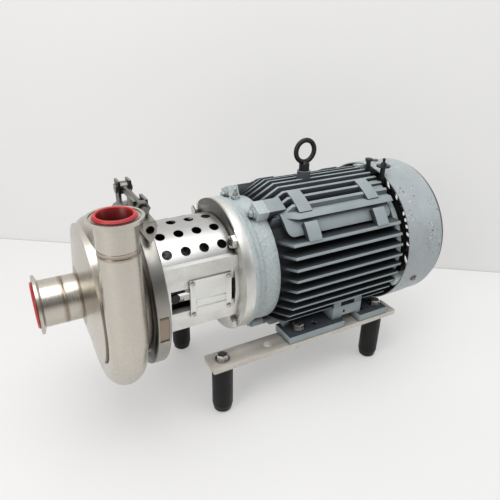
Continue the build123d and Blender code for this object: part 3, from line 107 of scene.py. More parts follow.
class Finish:
    """One procedural material, with short calls for the nodes it is made of."""

    def __init__(self, name, base, metallic=0.0, roughness=0.4, coat=0.0):
        self.material = bpy.data.materials.new(name)
        self.material.use_nodes = True
        self.tree = self.material.node_tree
        self.tree.nodes.clear()
        self.shader = self.add("ShaderNodeBsdfPrincipled")
        self.shader.inputs["Base Color"].default_value = (*base, 1)
        self.shader.inputs["Metallic"].default_value = metallic
        self.shader.inputs["Roughness"].default_value = roughness
        self.shader.inputs["Coat Weight"].default_value = coat
        self.output = self.add("ShaderNodeOutputMaterial")
        self.link(self.shader.outputs[0], self.output.inputs[0])
        given = self.add("ShaderNodeTexCoord")
        self.place = given.outputs["Object"]
        self.face = given.outputs["Normal"]
        self.normal = None

    def add(self, kind, **settings):
        node = self.tree.nodes.new(kind)
        for key, value in settings.items():
            setattr(node, key, value)
        return node

    def link(self, source, target):
        self.tree.links.new(source, target)

    def math(self, operation, first, second=0.0):
        node = self.add("ShaderNodeMath", operation=operation)
        for socket, value in zip(node.inputs, (first, second)):
            if isinstance(value, (int, float)):
                socket.default_value = value
            else:
                self.link(value, socket)
        return node.outputs[0]

    def product(self, *values):
        result = values[0]
        for value in values[1:]:
            result = self.math("MULTIPLY", result, value)
        return result

    def length(self, first, second):
        squares = self.math("ADD", self.product(first, first), self.product(second, second))
        return self.math("SQRT", squares)

    def scaled(self, scale, place=None):
        node = self.add("ShaderNodeMapping")
        node.inputs["Scale"].default_value = scale
        self.link(place or self.place, node.inputs["Vector"])
        return node.outputs[0]

    def around_shaft(self):
        """Coordinates that run along the shaft, outwards and around it."""
        split = self.add("ShaderNodeSeparateXYZ")
        self.link(self.place, split.inputs[0])
        x, y, z = split.outputs
        angle = self.math("ARCTAN2", z, y)
        radius = self.length(y, z)
        join = self.add("ShaderNodeCombineXYZ")
        for value, socket in zip((x, radius, self.product(angle, 0.02)), join.inputs):
            self.link(value, socket)
        return join.outputs[0]

    def axes(self, vector=None):
        split = self.add("ShaderNodeSeparateXYZ")
        self.link(vector or self.place, split.inputs[0])
        return split.outputs

    def facing(self, direction):
        """How squarely a face looks along a direction, from -1 to 1."""
        node = self.add("ShaderNodeVectorMath", operation="DOT_PRODUCT")
        self.link(self.face, node.inputs[0])
        node.inputs[1].default_value = direction
        return node.outputs["Value"]

    def facing_out(self):
        """How squarely a face looks away from the shaft, from -1 to 1."""
        _, y, z = self.axes()
        _, face_y, face_z = self.axes(self.face)
        along = self.math("ADD", self.product(y, face_y), self.product(z, face_z))
        return self.math("DIVIDE", along, self.length(y, z))

    def band(self, value, middle, half_width, soft):
        """1 inside a band of a value and 0 outside it, with soft edges."""
        away = self.math("ABSOLUTE", self.math("SUBTRACT", value, middle))
        return self.ramp(away, half_width, half_width + soft, (1, 1, 1), (0, 0, 0))

    def crevice(self, distance, low=0.3, high=0.8):
        """Painted shade: dark where other faces stand close by, and light on open faces."""
        node = self.add("ShaderNodeAmbientOcclusion", samples=5)
        node.inputs["Distance"].default_value = distance
        return self.ramp(node.outputs["AO"], low, high)

    def noise(self, scale, detail=4.0, roughness=0.55, place=None):
        node = self.add("ShaderNodeTexNoise")
        node.inputs["Scale"].default_value = scale
        node.inputs["Detail"].default_value = detail
        node.inputs["Roughness"].default_value = roughness
        self.link(place or self.place, node.inputs["Vector"])
        return node.outputs["Fac"]

    def ramp(self, value, low, high, start=(0, 0, 0), end=(1, 1, 1)):
        node = self.add("ShaderNodeValToRGB")
        node.color_ramp.elements[0].position = low
        node.color_ramp.elements[1].position = high
        node.color_ramp.elements[0].color = (*start, 1)
        node.color_ramp.elements[1].color = (*end, 1)
        self.link(value, node.inputs[0])
        return node.outputs["Color"]

    def mixed(self, factor, first, second):
        node = self.add("ShaderNodeMix", data_type="RGBA")
        for socket, value in zip((node.inputs[0], node.inputs[6], node.inputs[7]),
                                 (factor, first, second)):
            if isinstance(value, (int, float)):
                socket.default_value = value
            elif isinstance(value, tuple):
                socket.default_value = (*value, 1)
            else:
                self.link(value, socket)
        return node.outputs[2]

    def colour(self, socket):
        self.link(socket, self.shader.inputs["Base Color"])

    def roughness(self, value, low, high, rough_low, rough_high):
        node = self.add("ShaderNodeMapRange")
        for socket, number in zip(list(node.inputs)[1:5], (low, high, rough_low, rough_high)):
            socket.default_value = number
        self.link(value, node.inputs[0])
        self.link(node.outputs[0], self.shader.inputs["Roughness"])

    def bump(self, height, strength, distance):
        node = self.add("ShaderNodeBump")
        node.inputs["Strength"].default_value = strength
        node.inputs["Distance"].default_value = distance
        self.link(height, node.inputs["Height"])
        if self.normal:
            self.link(self.normal, node.inputs["Normal"])
        self.normal = node.outputs[0]
        self.link(self.normal, self.shader.inputs["Normal"])


# Where a point of the pump lies, as sockets

def along_shaft(finish):
    return finish.axes()[0]


def from_shaft(finish):
    return finish.axes(finish.around_shaft())[1]


def height(finish):
    return finish.axes()[2]


def sideways_place(finish):
    return finish.axes()[1]


# Finishes

HEAT_TINT = (0.20, 0.135, 0.085)
# Painted shade inside the guard
SHEET_SHADE = (0.012, 0.012, 0.011)
# Painted shade on the clamp's far hinge and on its front faces
HINGE_SHADE = (0.022, 0.020, 0.018)
FRONT_SHADE = (0.10, 0.092, 0.082)
# Painted shade in the adapter's bay
BAY_SHADE = (0.030, 0.029, 0.027)
# Painted shade along the rim of the near clamp recess's floor, and the floor's brown
RECESS_RIM_SHADE = (0.05, 0.04, 0.032)
RECESS_FLOOR = (0.30, 0.235, 0.185)
CHIP_DARK = (0.060, 0.062, 0.066)
CHIP_BRIGHT = (0.66, 0.68, 0.69)
# Painted shade in the fin valleys and inside the fan cover
VALLEY_SHADE = (0.007, 0.008, 0.009)
COVER_INSIDE_SHADE = (0.010, 0.010, 0.011)

# Weld rings: what is measured, its middle and half width, and a limit that keeps to one tube
CASING_WELDS = (
    (along_shaft, 27.0 * MM, 1.1 * MM, from_shaft, 29 * MM),
    (along_shaft, 44.5 * MM, 1.6 * MM, from_shaft, 33 * MM),
    (height, 91.2 * MM, 0.9 * MM, sideways_place, -60 * MM),
)


def tinted(base, factor, tints=(1.0, 1.0, 1.0)):
    return tuple(channel * factor * tint for channel, tint in zip(base, tints))


def brushed_steel(name, base, rough, stretch, stain=0.2, shade_and_grime=0.35, reach=0.008, welds=(),
                  shade=(0.3, 0.8), hollow=None):
    """Metal with fine brushing along one direction, faint stains, and painted shade with a grime
    tint in its crevices.

    It is painted with shade nearer to the shaft than hollow, and tinted by heat at its welds.
    """
    finish = Finish(name, base, metallic=1.0, roughness=rough)
    if stretch == "around":
        grain_place = finish.scaled((5200, 5200, 30), finish.around_shaft())
    else:
        grain_place = finish.scaled(stretch)
    grain = finish.noise(1.0, 2.0, 0.5, grain_place)
    cloud = finish.noise(26.0, 5.0, 0.6)
    patches = finish.ramp(cloud, 0.45, 0.75, (0, 0, 0), (stain, stain, stain))
    tone = finish.mixed(finish.ramp(grain, 0.3, 0.7), tinted(base, 0.93), base)
    tone = finish.mixed(patches, tone, tinted(base, 1.0, (0.80, 0.74, 0.66)))
    for value, middle, half_width, limit, least in welds:
        ring = finish.band(value(finish), middle, half_width, half_width * 1.5)
        inside = finish.math("LESS_THAN", limit(finish), least)
        tone = finish.mixed(finish.product(ring, inside, 0.75), tone, HEAT_TINT)
    # Painted shade on faces nearer to the shaft than hollow
    if hollow:
        inside = finish.math("LESS_THAN", from_shaft(finish), hollow)
        tone = finish.mixed(inside, tone, SHEET_SHADE)
    # Painted shade with a grime tint where other faces stand close by
    shade_and_grime_tone = tinted(base, shade_and_grime, (1.0, 0.9, 0.78))
    finish.colour(finish.mixed(finish.crevice(reach, *shade), shade_and_grime_tone, tone))
    finish.roughness(grain, 0.3, 0.7, rough - 0.04, rough + 0.05)
    finish.bump(grain, 0.05, 0.00003)
    return finish.material


def cast_steel(name, base, rough, grain_size=900.0, depth=0.00012, reach=0.012, special=None,
               metallic=1.0):
    """Cast or forged metal: fine pitted skin, darker clouds, and painted shade with a grime tint in
    its corners.
    """
    finish = Finish(name, base, metallic=metallic, roughness=rough)
    grain = finish.noise(grain_size, 3.0, 0.6)
    cloud = finish.noise(35.0, 6.0, 0.65)
    darker = tinted(base, 0.78)
    tone = finish.mixed(finish.ramp(cloud, 0.35, 0.75), base, darker)
    tone = finish.mixed(finish.ramp(grain, 0.55, 0.75, (0, 0, 0), (0.25, 0.25, 0.25)), tone, darker)
    if special:
        tone = special(finish, tone)
    # Painted shade with a grime tint where other faces stand close by
    shade_and_grime_tone = tinted(base, 0.22, (1.0, 0.88, 0.75))
    finish.colour(finish.mixed(finish.crevice(reach), shade_and_grime_tone, tone))
    finish.roughness(cloud, 0.3, 0.75, rough - 0.05, rough + 0.12)
    finish.bump(grain, 0.3, depth)
    return finish.material


def clamp_marks(finish, tone):
    """Painted shade on the clamp's far hinge, lighter on faces that look up, painted shade on its
    front faces, and a brown floor with a painted shade along its rim in the near half's recess.
    """
    # Painted shade on the far hinge, lighter on faces that look up
    up = finish.ramp(height(finish), HINGE_SHADE_START, HINGE_SHADE_FULL)
    back = finish.math("GREATER_THAN", sideways_place(finish), HINGE_SHADE_SIDE)
    level = finish.ramp(finish.facing((0, 0, 1)), 0.6, 0.9, (0.92, 0.92, 0.92), (0.25, 0.25, 0.25))
    tone = finish.mixed(finish.product(up, back, level), tone, HINGE_SHADE)
    # Painted shade on faces that look to the front
    ahead = finish.ramp(finish.facing((-1, 0, 0)), 0.2, 0.6, (0, 0, 0), (0.8, 0.8, 0.8))
    tone = finish.mixed(ahead, tone, FRONT_SHADE)
    # Painted shade along the rim of the recess floor, and a brown floor
    sunk = finish.math("LESS_THAN", from_shaft(finish), RECESS_RADIUS)
    near = finish.math("LESS_THAN", sideways_place(finish), 0.0)
    wide = finish.band(along_shaft(finish), RECESS_MIDDLE, RECESS_HALF_WIDTH, 0.2 * MM)
    long = finish.band(height(finish), RECESS_LEVEL, RECESS_HALF_LENGTH, 0.2 * MM)
    inner_wide = finish.band(along_shaft(finish), RECESS_MIDDLE, RECESS_HALF_WIDTH - 1.1 * MM,
                             0.3 * MM)
    inner_long = finish.band(height(finish), RECESS_LEVEL, RECESS_HALF_LENGTH - 1.3 * MM, 0.3 * MM)
    recess_tone = finish.mixed(finish.product(inner_wide, inner_long), RECESS_RIM_SHADE, RECESS_FLOOR)
    return finish.mixed(finish.product(sunk, near, wide, long), tone, recess_tone)


def adapter_shade(finish, tone):
    """Painted shade on the inner faces of the adapter's bay."""
    inside = finish.ramp(from_shaft(finish), BAY_RADIUS - 2 * MM, BAY_RADIUS, (1, 1, 1), (0, 0, 0))
    across = finish.math("ABSOLUTE", sideways_place(finish))
    between = finish.product(finish.math("LESS_THAN", across, BAY_HALF_WIDTH),
                             finish.math("GREATER_THAN", height(finish), BAY_BOTTOM))
    inside = finish.math("MAXIMUM", inside, between)
    within = finish.band(along_shaft(finish), (BAY_FRONT + BAY_BACK) / 2,
                         (BAY_BACK - BAY_FRONT) / 2, 3 * MM)
    return finish.mixed(finish.product(inside, within), tone, BAY_SHADE)


def enamel(name, light, rough=0.36, coat=0.10, shine=0.45, casting=0.0, special=None):
    """Blue grey machine enamel: clouded, smooth or rough as its casting."""
    finish = Finish(name, light, roughness=rough, coat=coat)
    finish.shader.inputs["Coat Roughness"].default_value = 0.25
    finish.shader.inputs["Specular IOR Level"].default_value = shine
    fine = finish.noise(420.0, 3.0, 0.55)
    coarse = finish.noise(120.0, 4.0, 0.6)
    cloud = finish.noise(20.0, 5.0, 0.6)
    tone = finish.mixed(finish.ramp(cloud, 0.35, 0.7), tinted(light, 0.82), light)
    if casting:
        speckle = finish.ramp(finish.noise(520.0, 5.0, 0.65), 0.36, 0.64)
        spots = finish.mixed(speckle, tinted(light, 1.0 - 0.30 * casting),
                             tinted(light, 1.0 + 0.16 * casting))
        tone = finish.mixed(casting * 0.6, tone, spots)
    if special:
        tone = special(finish, tone)
    # Painted shade where other faces stand close by
    finish.colour(finish.mixed(finish.crevice(0.012, 0.25, 0.75), tinted(light, 0.07), tone))
    finish.roughness(fine, 0.3, 0.7, rough - 0.05, rough + 0.14)
    finish.bump(coarse, 0.3 + casting * 0.6, 0.0003 + casting * 0.0020)
    finish.bump(fine, 0.35 + casting * 0.2, 0.0002 + casting * 0.0009)
    return finish.material


def frame_shade(finish, tone):
    """Painted shade on the flanks between the motor's fins, lighter near their tips and higher up,
    and painted black shade in the valleys.
    """
    # Painted shade on faces that do not look away from the shaft, lighter near the fin tips and
    # higher up
    dark = (0.016, 0.019, 0.022)
    outward = finish.ramp(finish.facing_out(), 0.55, 0.85)
    low = finish.math("LESS_THAN", height(finish), FOOT_LEVEL)
    side = finish.ramp(finish.math("ABSOLUTE", finish.facing((0, 1, 0))), 0.7, 0.9)
    end = finish.ramp(finish.math("ABSOLUTE", finish.facing((1, 0, 0))), 0.7, 0.9)
    web = finish.product(finish.math("MAXIMUM", side, end), low)
    higher_up = finish.ramp(height(finish), *FLANK_LIGHTENING_HEIGHTS)
    tip = finish.ramp(from_shaft(finish), *FIN_TIP)
    flank = finish.mixed(tip, finish.mixed(higher_up, dark, tinted(dark, 3.6)), tinted(dark, 3.2))
    tone = finish.mixed(finish.math("MAXIMUM", outward, web), flank, tone)
    # Painted black shade in the valleys between the fins
    uneven = finish.product(finish.noise(90.0, 3.0, 0.5), 2 * MM)
    depth_in = finish.math("ADD", from_shaft(finish), uneven)
    return finish.mixed(finish.ramp(depth_in, *FIN_VALLEY), VALLEY_SHADE, tone)


def cover_wear_and_shade(finish, tone):
    """Paint chips in patches on the fan cover, and painted shade on its inside."""
    patchy = finish.product(finish.ramp(finish.noise(30.0, 3.0, 0.5), 0.36, 0.72), 0.14)
    flake = finish.math("ADD", finish.noise(330.0, 6.0, 0.65), patchy)
    tone = finish.mixed(finish.ramp(flake, 0.70, 0.712), tone, CHIP_DARK)
    bright = finish.math("ADD", finish.noise(270.0, 5.0, 0.7), patchy)
    tone = finish.mixed(finish.ramp(bright, 0.71, 0.72), tone, CHIP_BRIGHT)
    # Painted shade on the inside of the fan cover
    inside = finish.math("LESS_THAN", from_shaft(finish), COVER_INSIDE_RADIUS)
    ahead = finish.math("LESS_THAN", along_shaft(finish), COVER_INSIDE_BACK)
    return finish.mixed(finish.product(inside, ahead), tone, COVER_INSIDE_SHADE)


def moulded(name, base, rough, depth=0.00006, well_shade=None, shine=0.5):
    """Moulded plastic or rubber, with a duller skin in places and painted shade in its well."""
    finish = Finish(name, base, roughness=rough)
    finish.shader.inputs["Specular IOR Level"].default_value = shine
    fine = finish.noise(700.0, 3.0, 0.5)
    cloud = finish.noise(60.0, 4.0, 0.6)
    tone = finish.mixed(finish.ramp(cloud, 0.3, 0.75), base, tinted(base, 0.7))
    # Painted shade in the well, where other faces stand close by
    if well_shade:
        tone = finish.mixed(finish.crevice(0.040, 0.42, 0.86), well_shade, tone)
    finish.colour(tone)
    finish.roughness(cloud, 0.3, 0.7, rough - 0.06, rough + 0.1)
    finish.bump(fine, 0.3, depth)
    return finish.material


def coil_copper():
    finish = Finish("wound_copper", (0.50, 0.20, 0.09), metallic=0.9, roughness=0.35)
    wires = finish.noise(1.0, 2.0, 0.5, finish.scaled((60, 1400, 900), finish.around_shaft()))
    finish.colour(finish.mixed(finish.ramp(wires, 0.4, 0.6), (0.22, 0.08, 0.03),
                               (0.60, 0.27, 0.12)))
    finish.bump(wires, 0.6, 0.0004)
    return finish.material


def laminated():
    finish = Finish("stacked_core", (0.22, 0.22, 0.23), metallic=1.0, roughness=0.45)
    sheets = finish.noise(1.0, 1.0, 0.5, finish.scaled((2500, 4, 4)))
    finish.colour(finish.mixed(sheets, (0.12, 0.12, 0.13), (0.32, 0.32, 0.33)))
    finish.bump(sheets, 0.5, 0.0002)
    return finish.material


FINISHES = {
    "casing_steel": brushed_steel("polished_casing", (0.58, 0.545, 0.485), 0.27, "around",
                                  welds=CASING_WELDS, reach=0.020, shade_and_grime=0.10,
                                  shade=(0.22, 0.62)),
    "cast_stainless": cast_steel("blasted_casting", (0.80, 0.795, 0.76), 0.38,
                                 special=adapter_shade),
    "clamp_stainless": cast_steel("clamp_casting", (0.40, 0.385, 0.35), 0.30, reach=0.008,
                                  special=clamp_marks),
    "guard_sheet": brushed_steel("rolled_sheet", (0.53, 0.53, 0.52), 0.30, (12, 2600, 2600),
                                 0.08, hollow=GUARD_INSIDE),
    "cover_plate": brushed_steel("stamped_plate", (0.80, 0.80, 0.775), 0.34,
                                 (25, 2600, 2600), 0.08, reach=0.004),
    "bolt_steel": brushed_steel("turned_fasteners", (0.60, 0.59, 0.57), 0.25,
                                (300, 300, 300), reach=0.006, shade_and_grime=0.15),
    "zinc_steel": brushed_steel("zinc_fasteners", (0.52, 0.51, 0.49), 0.28,
                                (300, 300, 300), reach=0.008, shade_and_grime=0.12),
    "black_steel": cast_steel("black_forging", (0.045, 0.045, 0.047), 0.36, 700.0, 0.0002),
    "shaft_steel": brushed_steel("ground_shaft", (0.62, 0.62, 0.61), 0.22, (1800, 8, 8)),
    "bearing_steel": brushed_steel("ground_bearing", (0.65, 0.65, 0.66), 0.2, (900, 900, 30)),
    "core_steel": laminated(),
    "winding_copper": coil_copper(),
    "seal_ceramic": moulded("ground_ceramic", (0.80, 0.77, 0.70), 0.25),
    "seal_carbon": moulded("carbon_ring", (0.03, 0.03, 0.032), 0.35),
    "gasket_rubber": moulded("gasket_rubber", (0.022, 0.022, 0.023), 0.55),
    "red_plastic": moulded("red_plug_plastic", (0.52, 0.020, 0.020), 0.32, 0.00004,
                           well_shade=(0.050, 0.003, 0.003)),
    "motor_paint": enamel("machine_enamel", (0.32, 0.365, 0.38), 0.48, coat=0.0, shine=0.25,
                          special=frame_shade),
    "bell_paint": enamel("bell_enamel", (0.43, 0.485, 0.49), casting=0.9),
    "cowl_paint": enamel("cover_enamel", (0.38, 0.42, 0.435), 0.30, special=cover_wear_and_shade),
    "dark_cap": moulded("dark_cap", (0.02, 0.02, 0.021), 0.4),
    "fan_plastic": moulded("fan_plastic", (0.012, 0.012, 0.013), 0.5),
    "rail_steel": cast_steel("worn_flat_bar", (0.64, 0.60, 0.54), 0.46, 600.0, 0.0001,
                             reach=0.006, metallic=0.45),
    "leg_rubber": moulded("leg_sleeve", (0.006, 0.006, 0.0065), 0.42, shine=0.25),
}

# Pieces painted darker than the finish of their slot, as painted shade and painted dark reflection
SHADED_STEEL = brushed_steel("oiled_fasteners", (0.20, 0.19, 0.175), 0.28, (300, 300, 300),
                      reach=0.006, shade_and_grime=0.12)
SHADED_STEEL_NODES = ("clamp_bolt", "clamp_bolt_pin", "clamp_nut", "seal_gland", "stub_shaft",
               "fan_cover_screws")
BLACK_NODES = ("rear_grease_fitting", "flush_caps")


def finish_of(name, slot):
    if name in SHADED_STEEL_NODES:
        return SHADED_STEEL
    if name in BLACK_NODES:
        return FINISHES["black_steel"]
    return FINISHES[slot]


def finish_nodes():
    """Gives each solid the finish of its slot in the record."""
    for entry in frame["record"]["subparts"]:
        solid = nodes[entry["node"]]
        material = finish_of(entry["node"], entry["material_slot"])
        if not solid.data.materials:
            solid.data.materials.append(material)
        for place in range(len(solid.data.materials)):
            solid.data.materials[place] = material


finish_nodes()


# Softened copies of the machined and cast pieces, with the rounding's width in mm

WELD_DISTANCE = 0.01 * MM
SOFTENED = {
    "adapter": 0.5, "clamp_near_half": 0.6, "clamp_far_half": 0.6, "clamp_nut": 0.35,
    "rail_near": 0.5, "rail_far": 0.5, "motor_frame": 0.8, "front_bell": 0.7, "rear_bell": 0.6,
    "side_cover_near": 0.3, "side_cover_far": 0.3, "foot_nuts": 0.35, "conduit_box": 0.7,
    "conduit_lid": 0.6, "impeller": 0.3, "rear_relief_plug": 0.3, "rear_grease_fitting": 0.25,
    "front_grease_fitting": 0.2,
}


def body_of(name):
    for body, members in frame["record"]["behaviour"]["bodies"].items():
        if name in members:
            return body
    return None


def slot_of(name):
    for entry in frame["record"]["subparts"]:
        if entry["node"] == name:
            return entry["material_slot"]
    return None


def added(name, data):
    thing = bpy.data.objects.new(name, data)
    bpy.context.scene.collection.objects.link(thing)
    return thing


def made_plain(piece):
    """Turns what the modifiers of a piece make into its plain mesh."""
    result = bpy.data.meshes.new_from_object(piece.evaluated_get(
        bpy.context.evaluated_depsgraph_get()))
    piece.modifiers.clear()
    piece.data = result
    return result


def smoothed(mesh, degrees):
    for face in mesh.polygons:
        face.use_smooth = True
    mesh.set_sharp_from_angle(angle=math.radians(degrees))


def stands_for(piece, name):
    """Puts a piece in the place of a node's solids, on the same body."""
    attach(piece, body_of(name))
    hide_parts(name)


def softened_copy(name, width):
    """Copy of a solid with its sharp edges rounded over, which stands for it."""
    solid = nodes[name]
    mesh = solid.data.copy()
    mesh.transform(solid.matrix_world)
    cleaner = bmesh.new()
    cleaner.from_mesh(mesh)
    bmesh.ops.remove_doubles(cleaner, verts=cleaner.verts, dist=WELD_DISTANCE)
    bmesh.ops.dissolve_limit(cleaner, angle_limit=math.radians(0.5), verts=cleaner.verts,
                             edges=cleaner.edges)
    cleaner.to_mesh(mesh)
    cleaner.free()
    piece = added("soft_" + name, mesh)
    rounding = piece.modifiers.new("edge_rounding", "BEVEL")
    rounding.width = width * MM
    rounding.segments = 2
    rounding.limit_method = "ANGLE"
    rounding.angle_limit = math.radians(40)
    rounding.harden_normals = False
    smoothed(made_plain(piece), 34)
    stands_for(piece, name)


for name, width in SOFTENED.items():
    softened_copy(name, width)


# Screws and bolts, one node tree for all of them

class Tree:
    """A geometry node tree with named inputs, which ends in one material."""

    def __init__(self, name, inputs):
        self.group = bpy.data.node_groups.new(name, "GeometryNodeTree")
        face = self.group.interface
        face.new_socket("Places", in_out="INPUT", socket_type="NodeSocketGeometry")
        for label, kind, value in inputs:
            socket = face.new_socket(label, in_out="INPUT", socket_type="NodeSocket" + kind)
            if value is not None:
                socket.default_value = value
        face.new_socket("Pieces", in_out="OUTPUT", socket_type="NodeSocketGeometry")
        self.entry = self.add("NodeGroupInput")

    def add(self, kind, **settings):
        node = self.group.nodes.new(kind)
        for key, value in settings.items():
            setattr(node, key, value)
        return node

    def feed(self, node, **values):
        """Sets or links the inputs of a node by their names, with spaces for underscores."""
        for label, value in values.items():
            socket = node.inputs[label.replace("_", " ")]
            if isinstance(value, (int, float, tuple)):
                socket.default_value = value
            else:
                self.group.links.new(value, socket)
        return node.outputs[0]

    def given(self, label):
        return self.entry.outputs[label]

    def math(self, operation, first, second=0.0):
        node = self.add("ShaderNodeMath", operation=operation)
        for socket, value in zip(node.inputs, (first, second)):
            if isinstance(value, (int, float)):
                socket.default_value = value
            else:
                self.group.links.new(value, socket)
        return node.outputs[0]

    def raised(self, shape, height):
        spot = self.feed(self.add("ShaderNodeCombineXYZ"), Z=height)
        return self.feed(self.add("GeometryNodeTransform"), Geometry=shape, Translation=spot)

    def prism(self, sides, low_radius, high_radius, low, height):
        """Prism or cone frustum that starts at a height and tapers upwards."""
        cone = self.add("GeometryNodeMeshCone", fill_type="NGON")
        mesh = self.feed(cone, Vertices=sides, Radius_Top=high_radius,
                         Radius_Bottom=low_radius, Depth=height)
        return self.raised(mesh, low)

    def joined(self, shapes):
        join = self.add("GeometryNodeJoinGeometry")
        for shape in reversed(shapes):
            self.group.links.new(shape, join.inputs[0])
        return join.outputs[0]

    def finished(self, master, finish):
        turn = self.add("GeometryNodeInputNamedAttribute", data_type="FLOAT_VECTOR")
        turn.inputs["Name"].default_value = "turn"
        spread = self.feed(self.add("GeometryNodeInstanceOnPoints"), Points=self.given("Places"),
                           Instance=master, Rotation=turn.outputs[0])
        real = self.feed(self.add("GeometryNodeRealizeInstances"), Geometry=spread)
        coated = self.feed(self.add("GeometryNodeSetMaterial"), Geometry=real, Material=finish)
        exit_node = self.add("NodeGroupOutput")
        self.group.links.new(coated, exit_node.inputs[0])
        return self.group


def fastener_tree():
    """Bolt or screw seen from its head's top: head with a chamfer, washer, shank and slot."""
    tree = Tree("fastener", (("Sides", "Int", 6), ("Head Radius", "Float", 0.005),
                             ("Head Height", "Float", 0.004), ("Chamfer", "Float", 0.0005),
                             ("Washer Radius", "Float", 0.006), ("Washer Height", "Float", 0.001),
                             ("Shank Radius", "Float", 0.002), ("Shank Length", "Float", 0.01),
                             ("Slot Width", "Float", 0.001), ("Slot Depth", "Float", 0.0004),
                             ("Finish", "Material", None)))
    head = tree.given("Head Height")
    chamfer = tree.given("Chamfer")
    radius = tree.given("Head Radius")
    body_height = tree.math("SUBTRACT", head, chamfer)
    low = tree.math("MULTIPLY", head, -1.0)
    narrow = tree.math("SUBTRACT", radius, tree.math("MULTIPLY", chamfer, 1.6))
    body = tree.prism(tree.given("Sides"), radius, radius, low, body_height)
    crown = tree.prism(tree.given("Sides"), radius, narrow, tree.math("MULTIPLY", chamfer, -1.0),
                       chamfer)
    washer_low = tree.math("SUBTRACT", low, tree.given("Washer Height"))
    washer = tree.prism(40, tree.given("Washer Radius"), tree.given("Washer Radius"), washer_low,
                        tree.given("Washer Height"))
    shank_low = tree.math("SUBTRACT", washer_low, tree.given("Shank Length"))
    shank = tree.prism(20, tree.given("Shank Radius"), tree.given("Shank Radius"), shank_low,
                       tree.given("Shank Length"))
    wide = tree.math("MULTIPLY", radius, 3.0)
    size = tree.feed(tree.add("ShaderNodeCombineXYZ"), X=tree.given("Slot Width"), Y=wide,
                     Z=tree.math("MULTIPLY", tree.given("Slot Depth"), 2.0))
    slot = tree.feed(tree.add("GeometryNodeMeshCube"), Size=size)
    cut = tree.add("GeometryNodeMeshBoolean", operation="DIFFERENCE")
    tree.group.links.new(crown, cut.inputs[0])
    tree.group.links.new(slot, cut.inputs[1])
    return tree.finished(tree.joined([body, cut.outputs[0], washer, shank]),
                         tree.given("Finish"))


FASTENER = fastener_tree()


def loose_parts(name):
    """Points of each separate solid in a node."""
    solid = nodes[name]
    shell = bmesh.new()
    shell.from_mesh(solid.data)
    shell.transform(solid.matrix_world)
    bmesh.ops.remove_doubles(shell, verts=shell.verts, dist=WELD_DISTANCE)
    left = set(shell.verts)
    parts = []
    while left:
        queue = [left.pop()]
        points = []
        while queue:
            vert = queue.pop()
            points.append(vert.co.copy())
            for edge in vert.link_edges:
                other = edge.other_vert(vert)
                if other in left:
                    left.remove(other)
                    queue.append(other)
        parts.append(points)
    shell.free()
    parts.sort(key=lambda points: tuple(round(sum(p[i] for p in points) / len(points), 4)
                                        for i in range(3)))
    return parts


def head_place(points, outward, spin):
    """Top of a screw's head, its turn as angles, and its whole length."""
    out = outward(sum(points, Vector()) / len(points)).normalized()
    turn = Vector((0, 0, 1)).rotation_difference(out)
    reach = [point.dot(out) for point in points]
    across = []
    for side in (turn @ Vector((1, 0, 0)), turn @ Vector((0, 1, 0))):
        span = [point.dot(side) for point in points]
        across.append(side * (min(span) + max(span)) / 2)
    top = across[0] + across[1] + out * max(reach)
    angles = (turn @ Matrix.Rotation(spin, 3, "Z").to_quaternion()).to_euler()
    return top, angles, max(reach) - min(reach)


def fasteners(name, outward, spin=0.0, **sizes):
    """Puts a detailed bolt or screw in the place of each solid of a node; sizes in mm."""
    places = [head_place(points, outward, spin) for points in loose_parts(name)]
    mesh = bpy.data.meshes.new(name + "_places")
    mesh.from_pydata([top for top, _, _ in places], [], [])
    store = mesh.attributes.new("turn", "FLOAT_VECTOR", "POINT")
    for index, (_, angles, _) in enumerate(places):
        store.data[index].vector = angles
    length = places[0][2] / MM
    sizes["Washer_Height"] = sizes.get("Washer_Height", 0.1)
    sizes["Shank_Length"] = length - sizes["Head_Height"] - sizes["Washer_Height"]
    piece = added("detailed_" + name, mesh)
    modifier = piece.modifiers.new("fasteners", "NODES")
    modifier.node_group = FASTENER
    for item in FASTENER.interface.items_tree:
        if item.in_out != "INPUT":
            continue
        label = item.name.replace(" ", "_")
        if label == "Sides":
            modifier[item.identifier] = sizes["Sides"]
        elif label == "Finish":
            modifier[item.identifier] = finish_of(name, slot_of(name))
        elif label in sizes:
            modifier[item.identifier] = sizes[label] * MM
    made_plain(piece)
    stands_for(piece, name)


def to_front(_middle):
    return Vector((-1, 0, 0))


def upwards(_middle):
    return Vector((0, 0, 1))


def sideways(middle):
    return Vector((0, 1 if middle.y > 0 else -1, 0))


def off_shaft(middle):
    return Vector((0, middle.y, middle.z))


# Port plugs, turned with the bead and step of a moulded cap

PLUG_SIDES = 96
LIP_SHARE = 0.925


def plug_profile(well, lip, depth):
    """Radius and rise of the plug's outline, from the middle of its floor round to its inside."""
    steps = ((well - 1.4 * MM, -depth), (well - 0.4 * MM, -depth + 0.5 * MM),
             (well, -depth + 1.4 * MM), (well, -2.7 * MM),
             (lip - 0.5 * MM, -2.7 * MM), (lip, -2.3 * MM), (lip, -1.9 * MM),
             (lip - 0.5 * MM, -1.45 * MM), (lip - 1.5 * MM, -1.4 * MM),
             (lip - 2.0 * MM, -1.75 * MM), (well + 1.9 * MM, -1.7 * MM),
             (well + 1.3 * MM, -0.7 * MM), (well + 0.7 * MM, -0.15 * MM),
             (well - 0.2 * MM, 0.0), (well - 1.1 * MM, -0.2 * MM), (well - 1.6 * MM, -1.0 * MM),
             (well - 1.8 * MM, -depth + 3.4 * MM), (well - 2.6 * MM, -depth + 2.1 * MM),
             (well * 0.45, -depth + 1.7 * MM))
    return [(0.0, -depth), *steps, (0.0, -depth + 1.6 * MM)]


def place_on(axis, middle, along, first, second):
    if axis == 0:
        return (along, middle[0] + first, middle[1] + second)
    return (middle[0] + first, middle[1] + second, along)


def ring_corners(start, radius, steps):
    return [start] if radius == 0.0 else [start + step for step in steps]


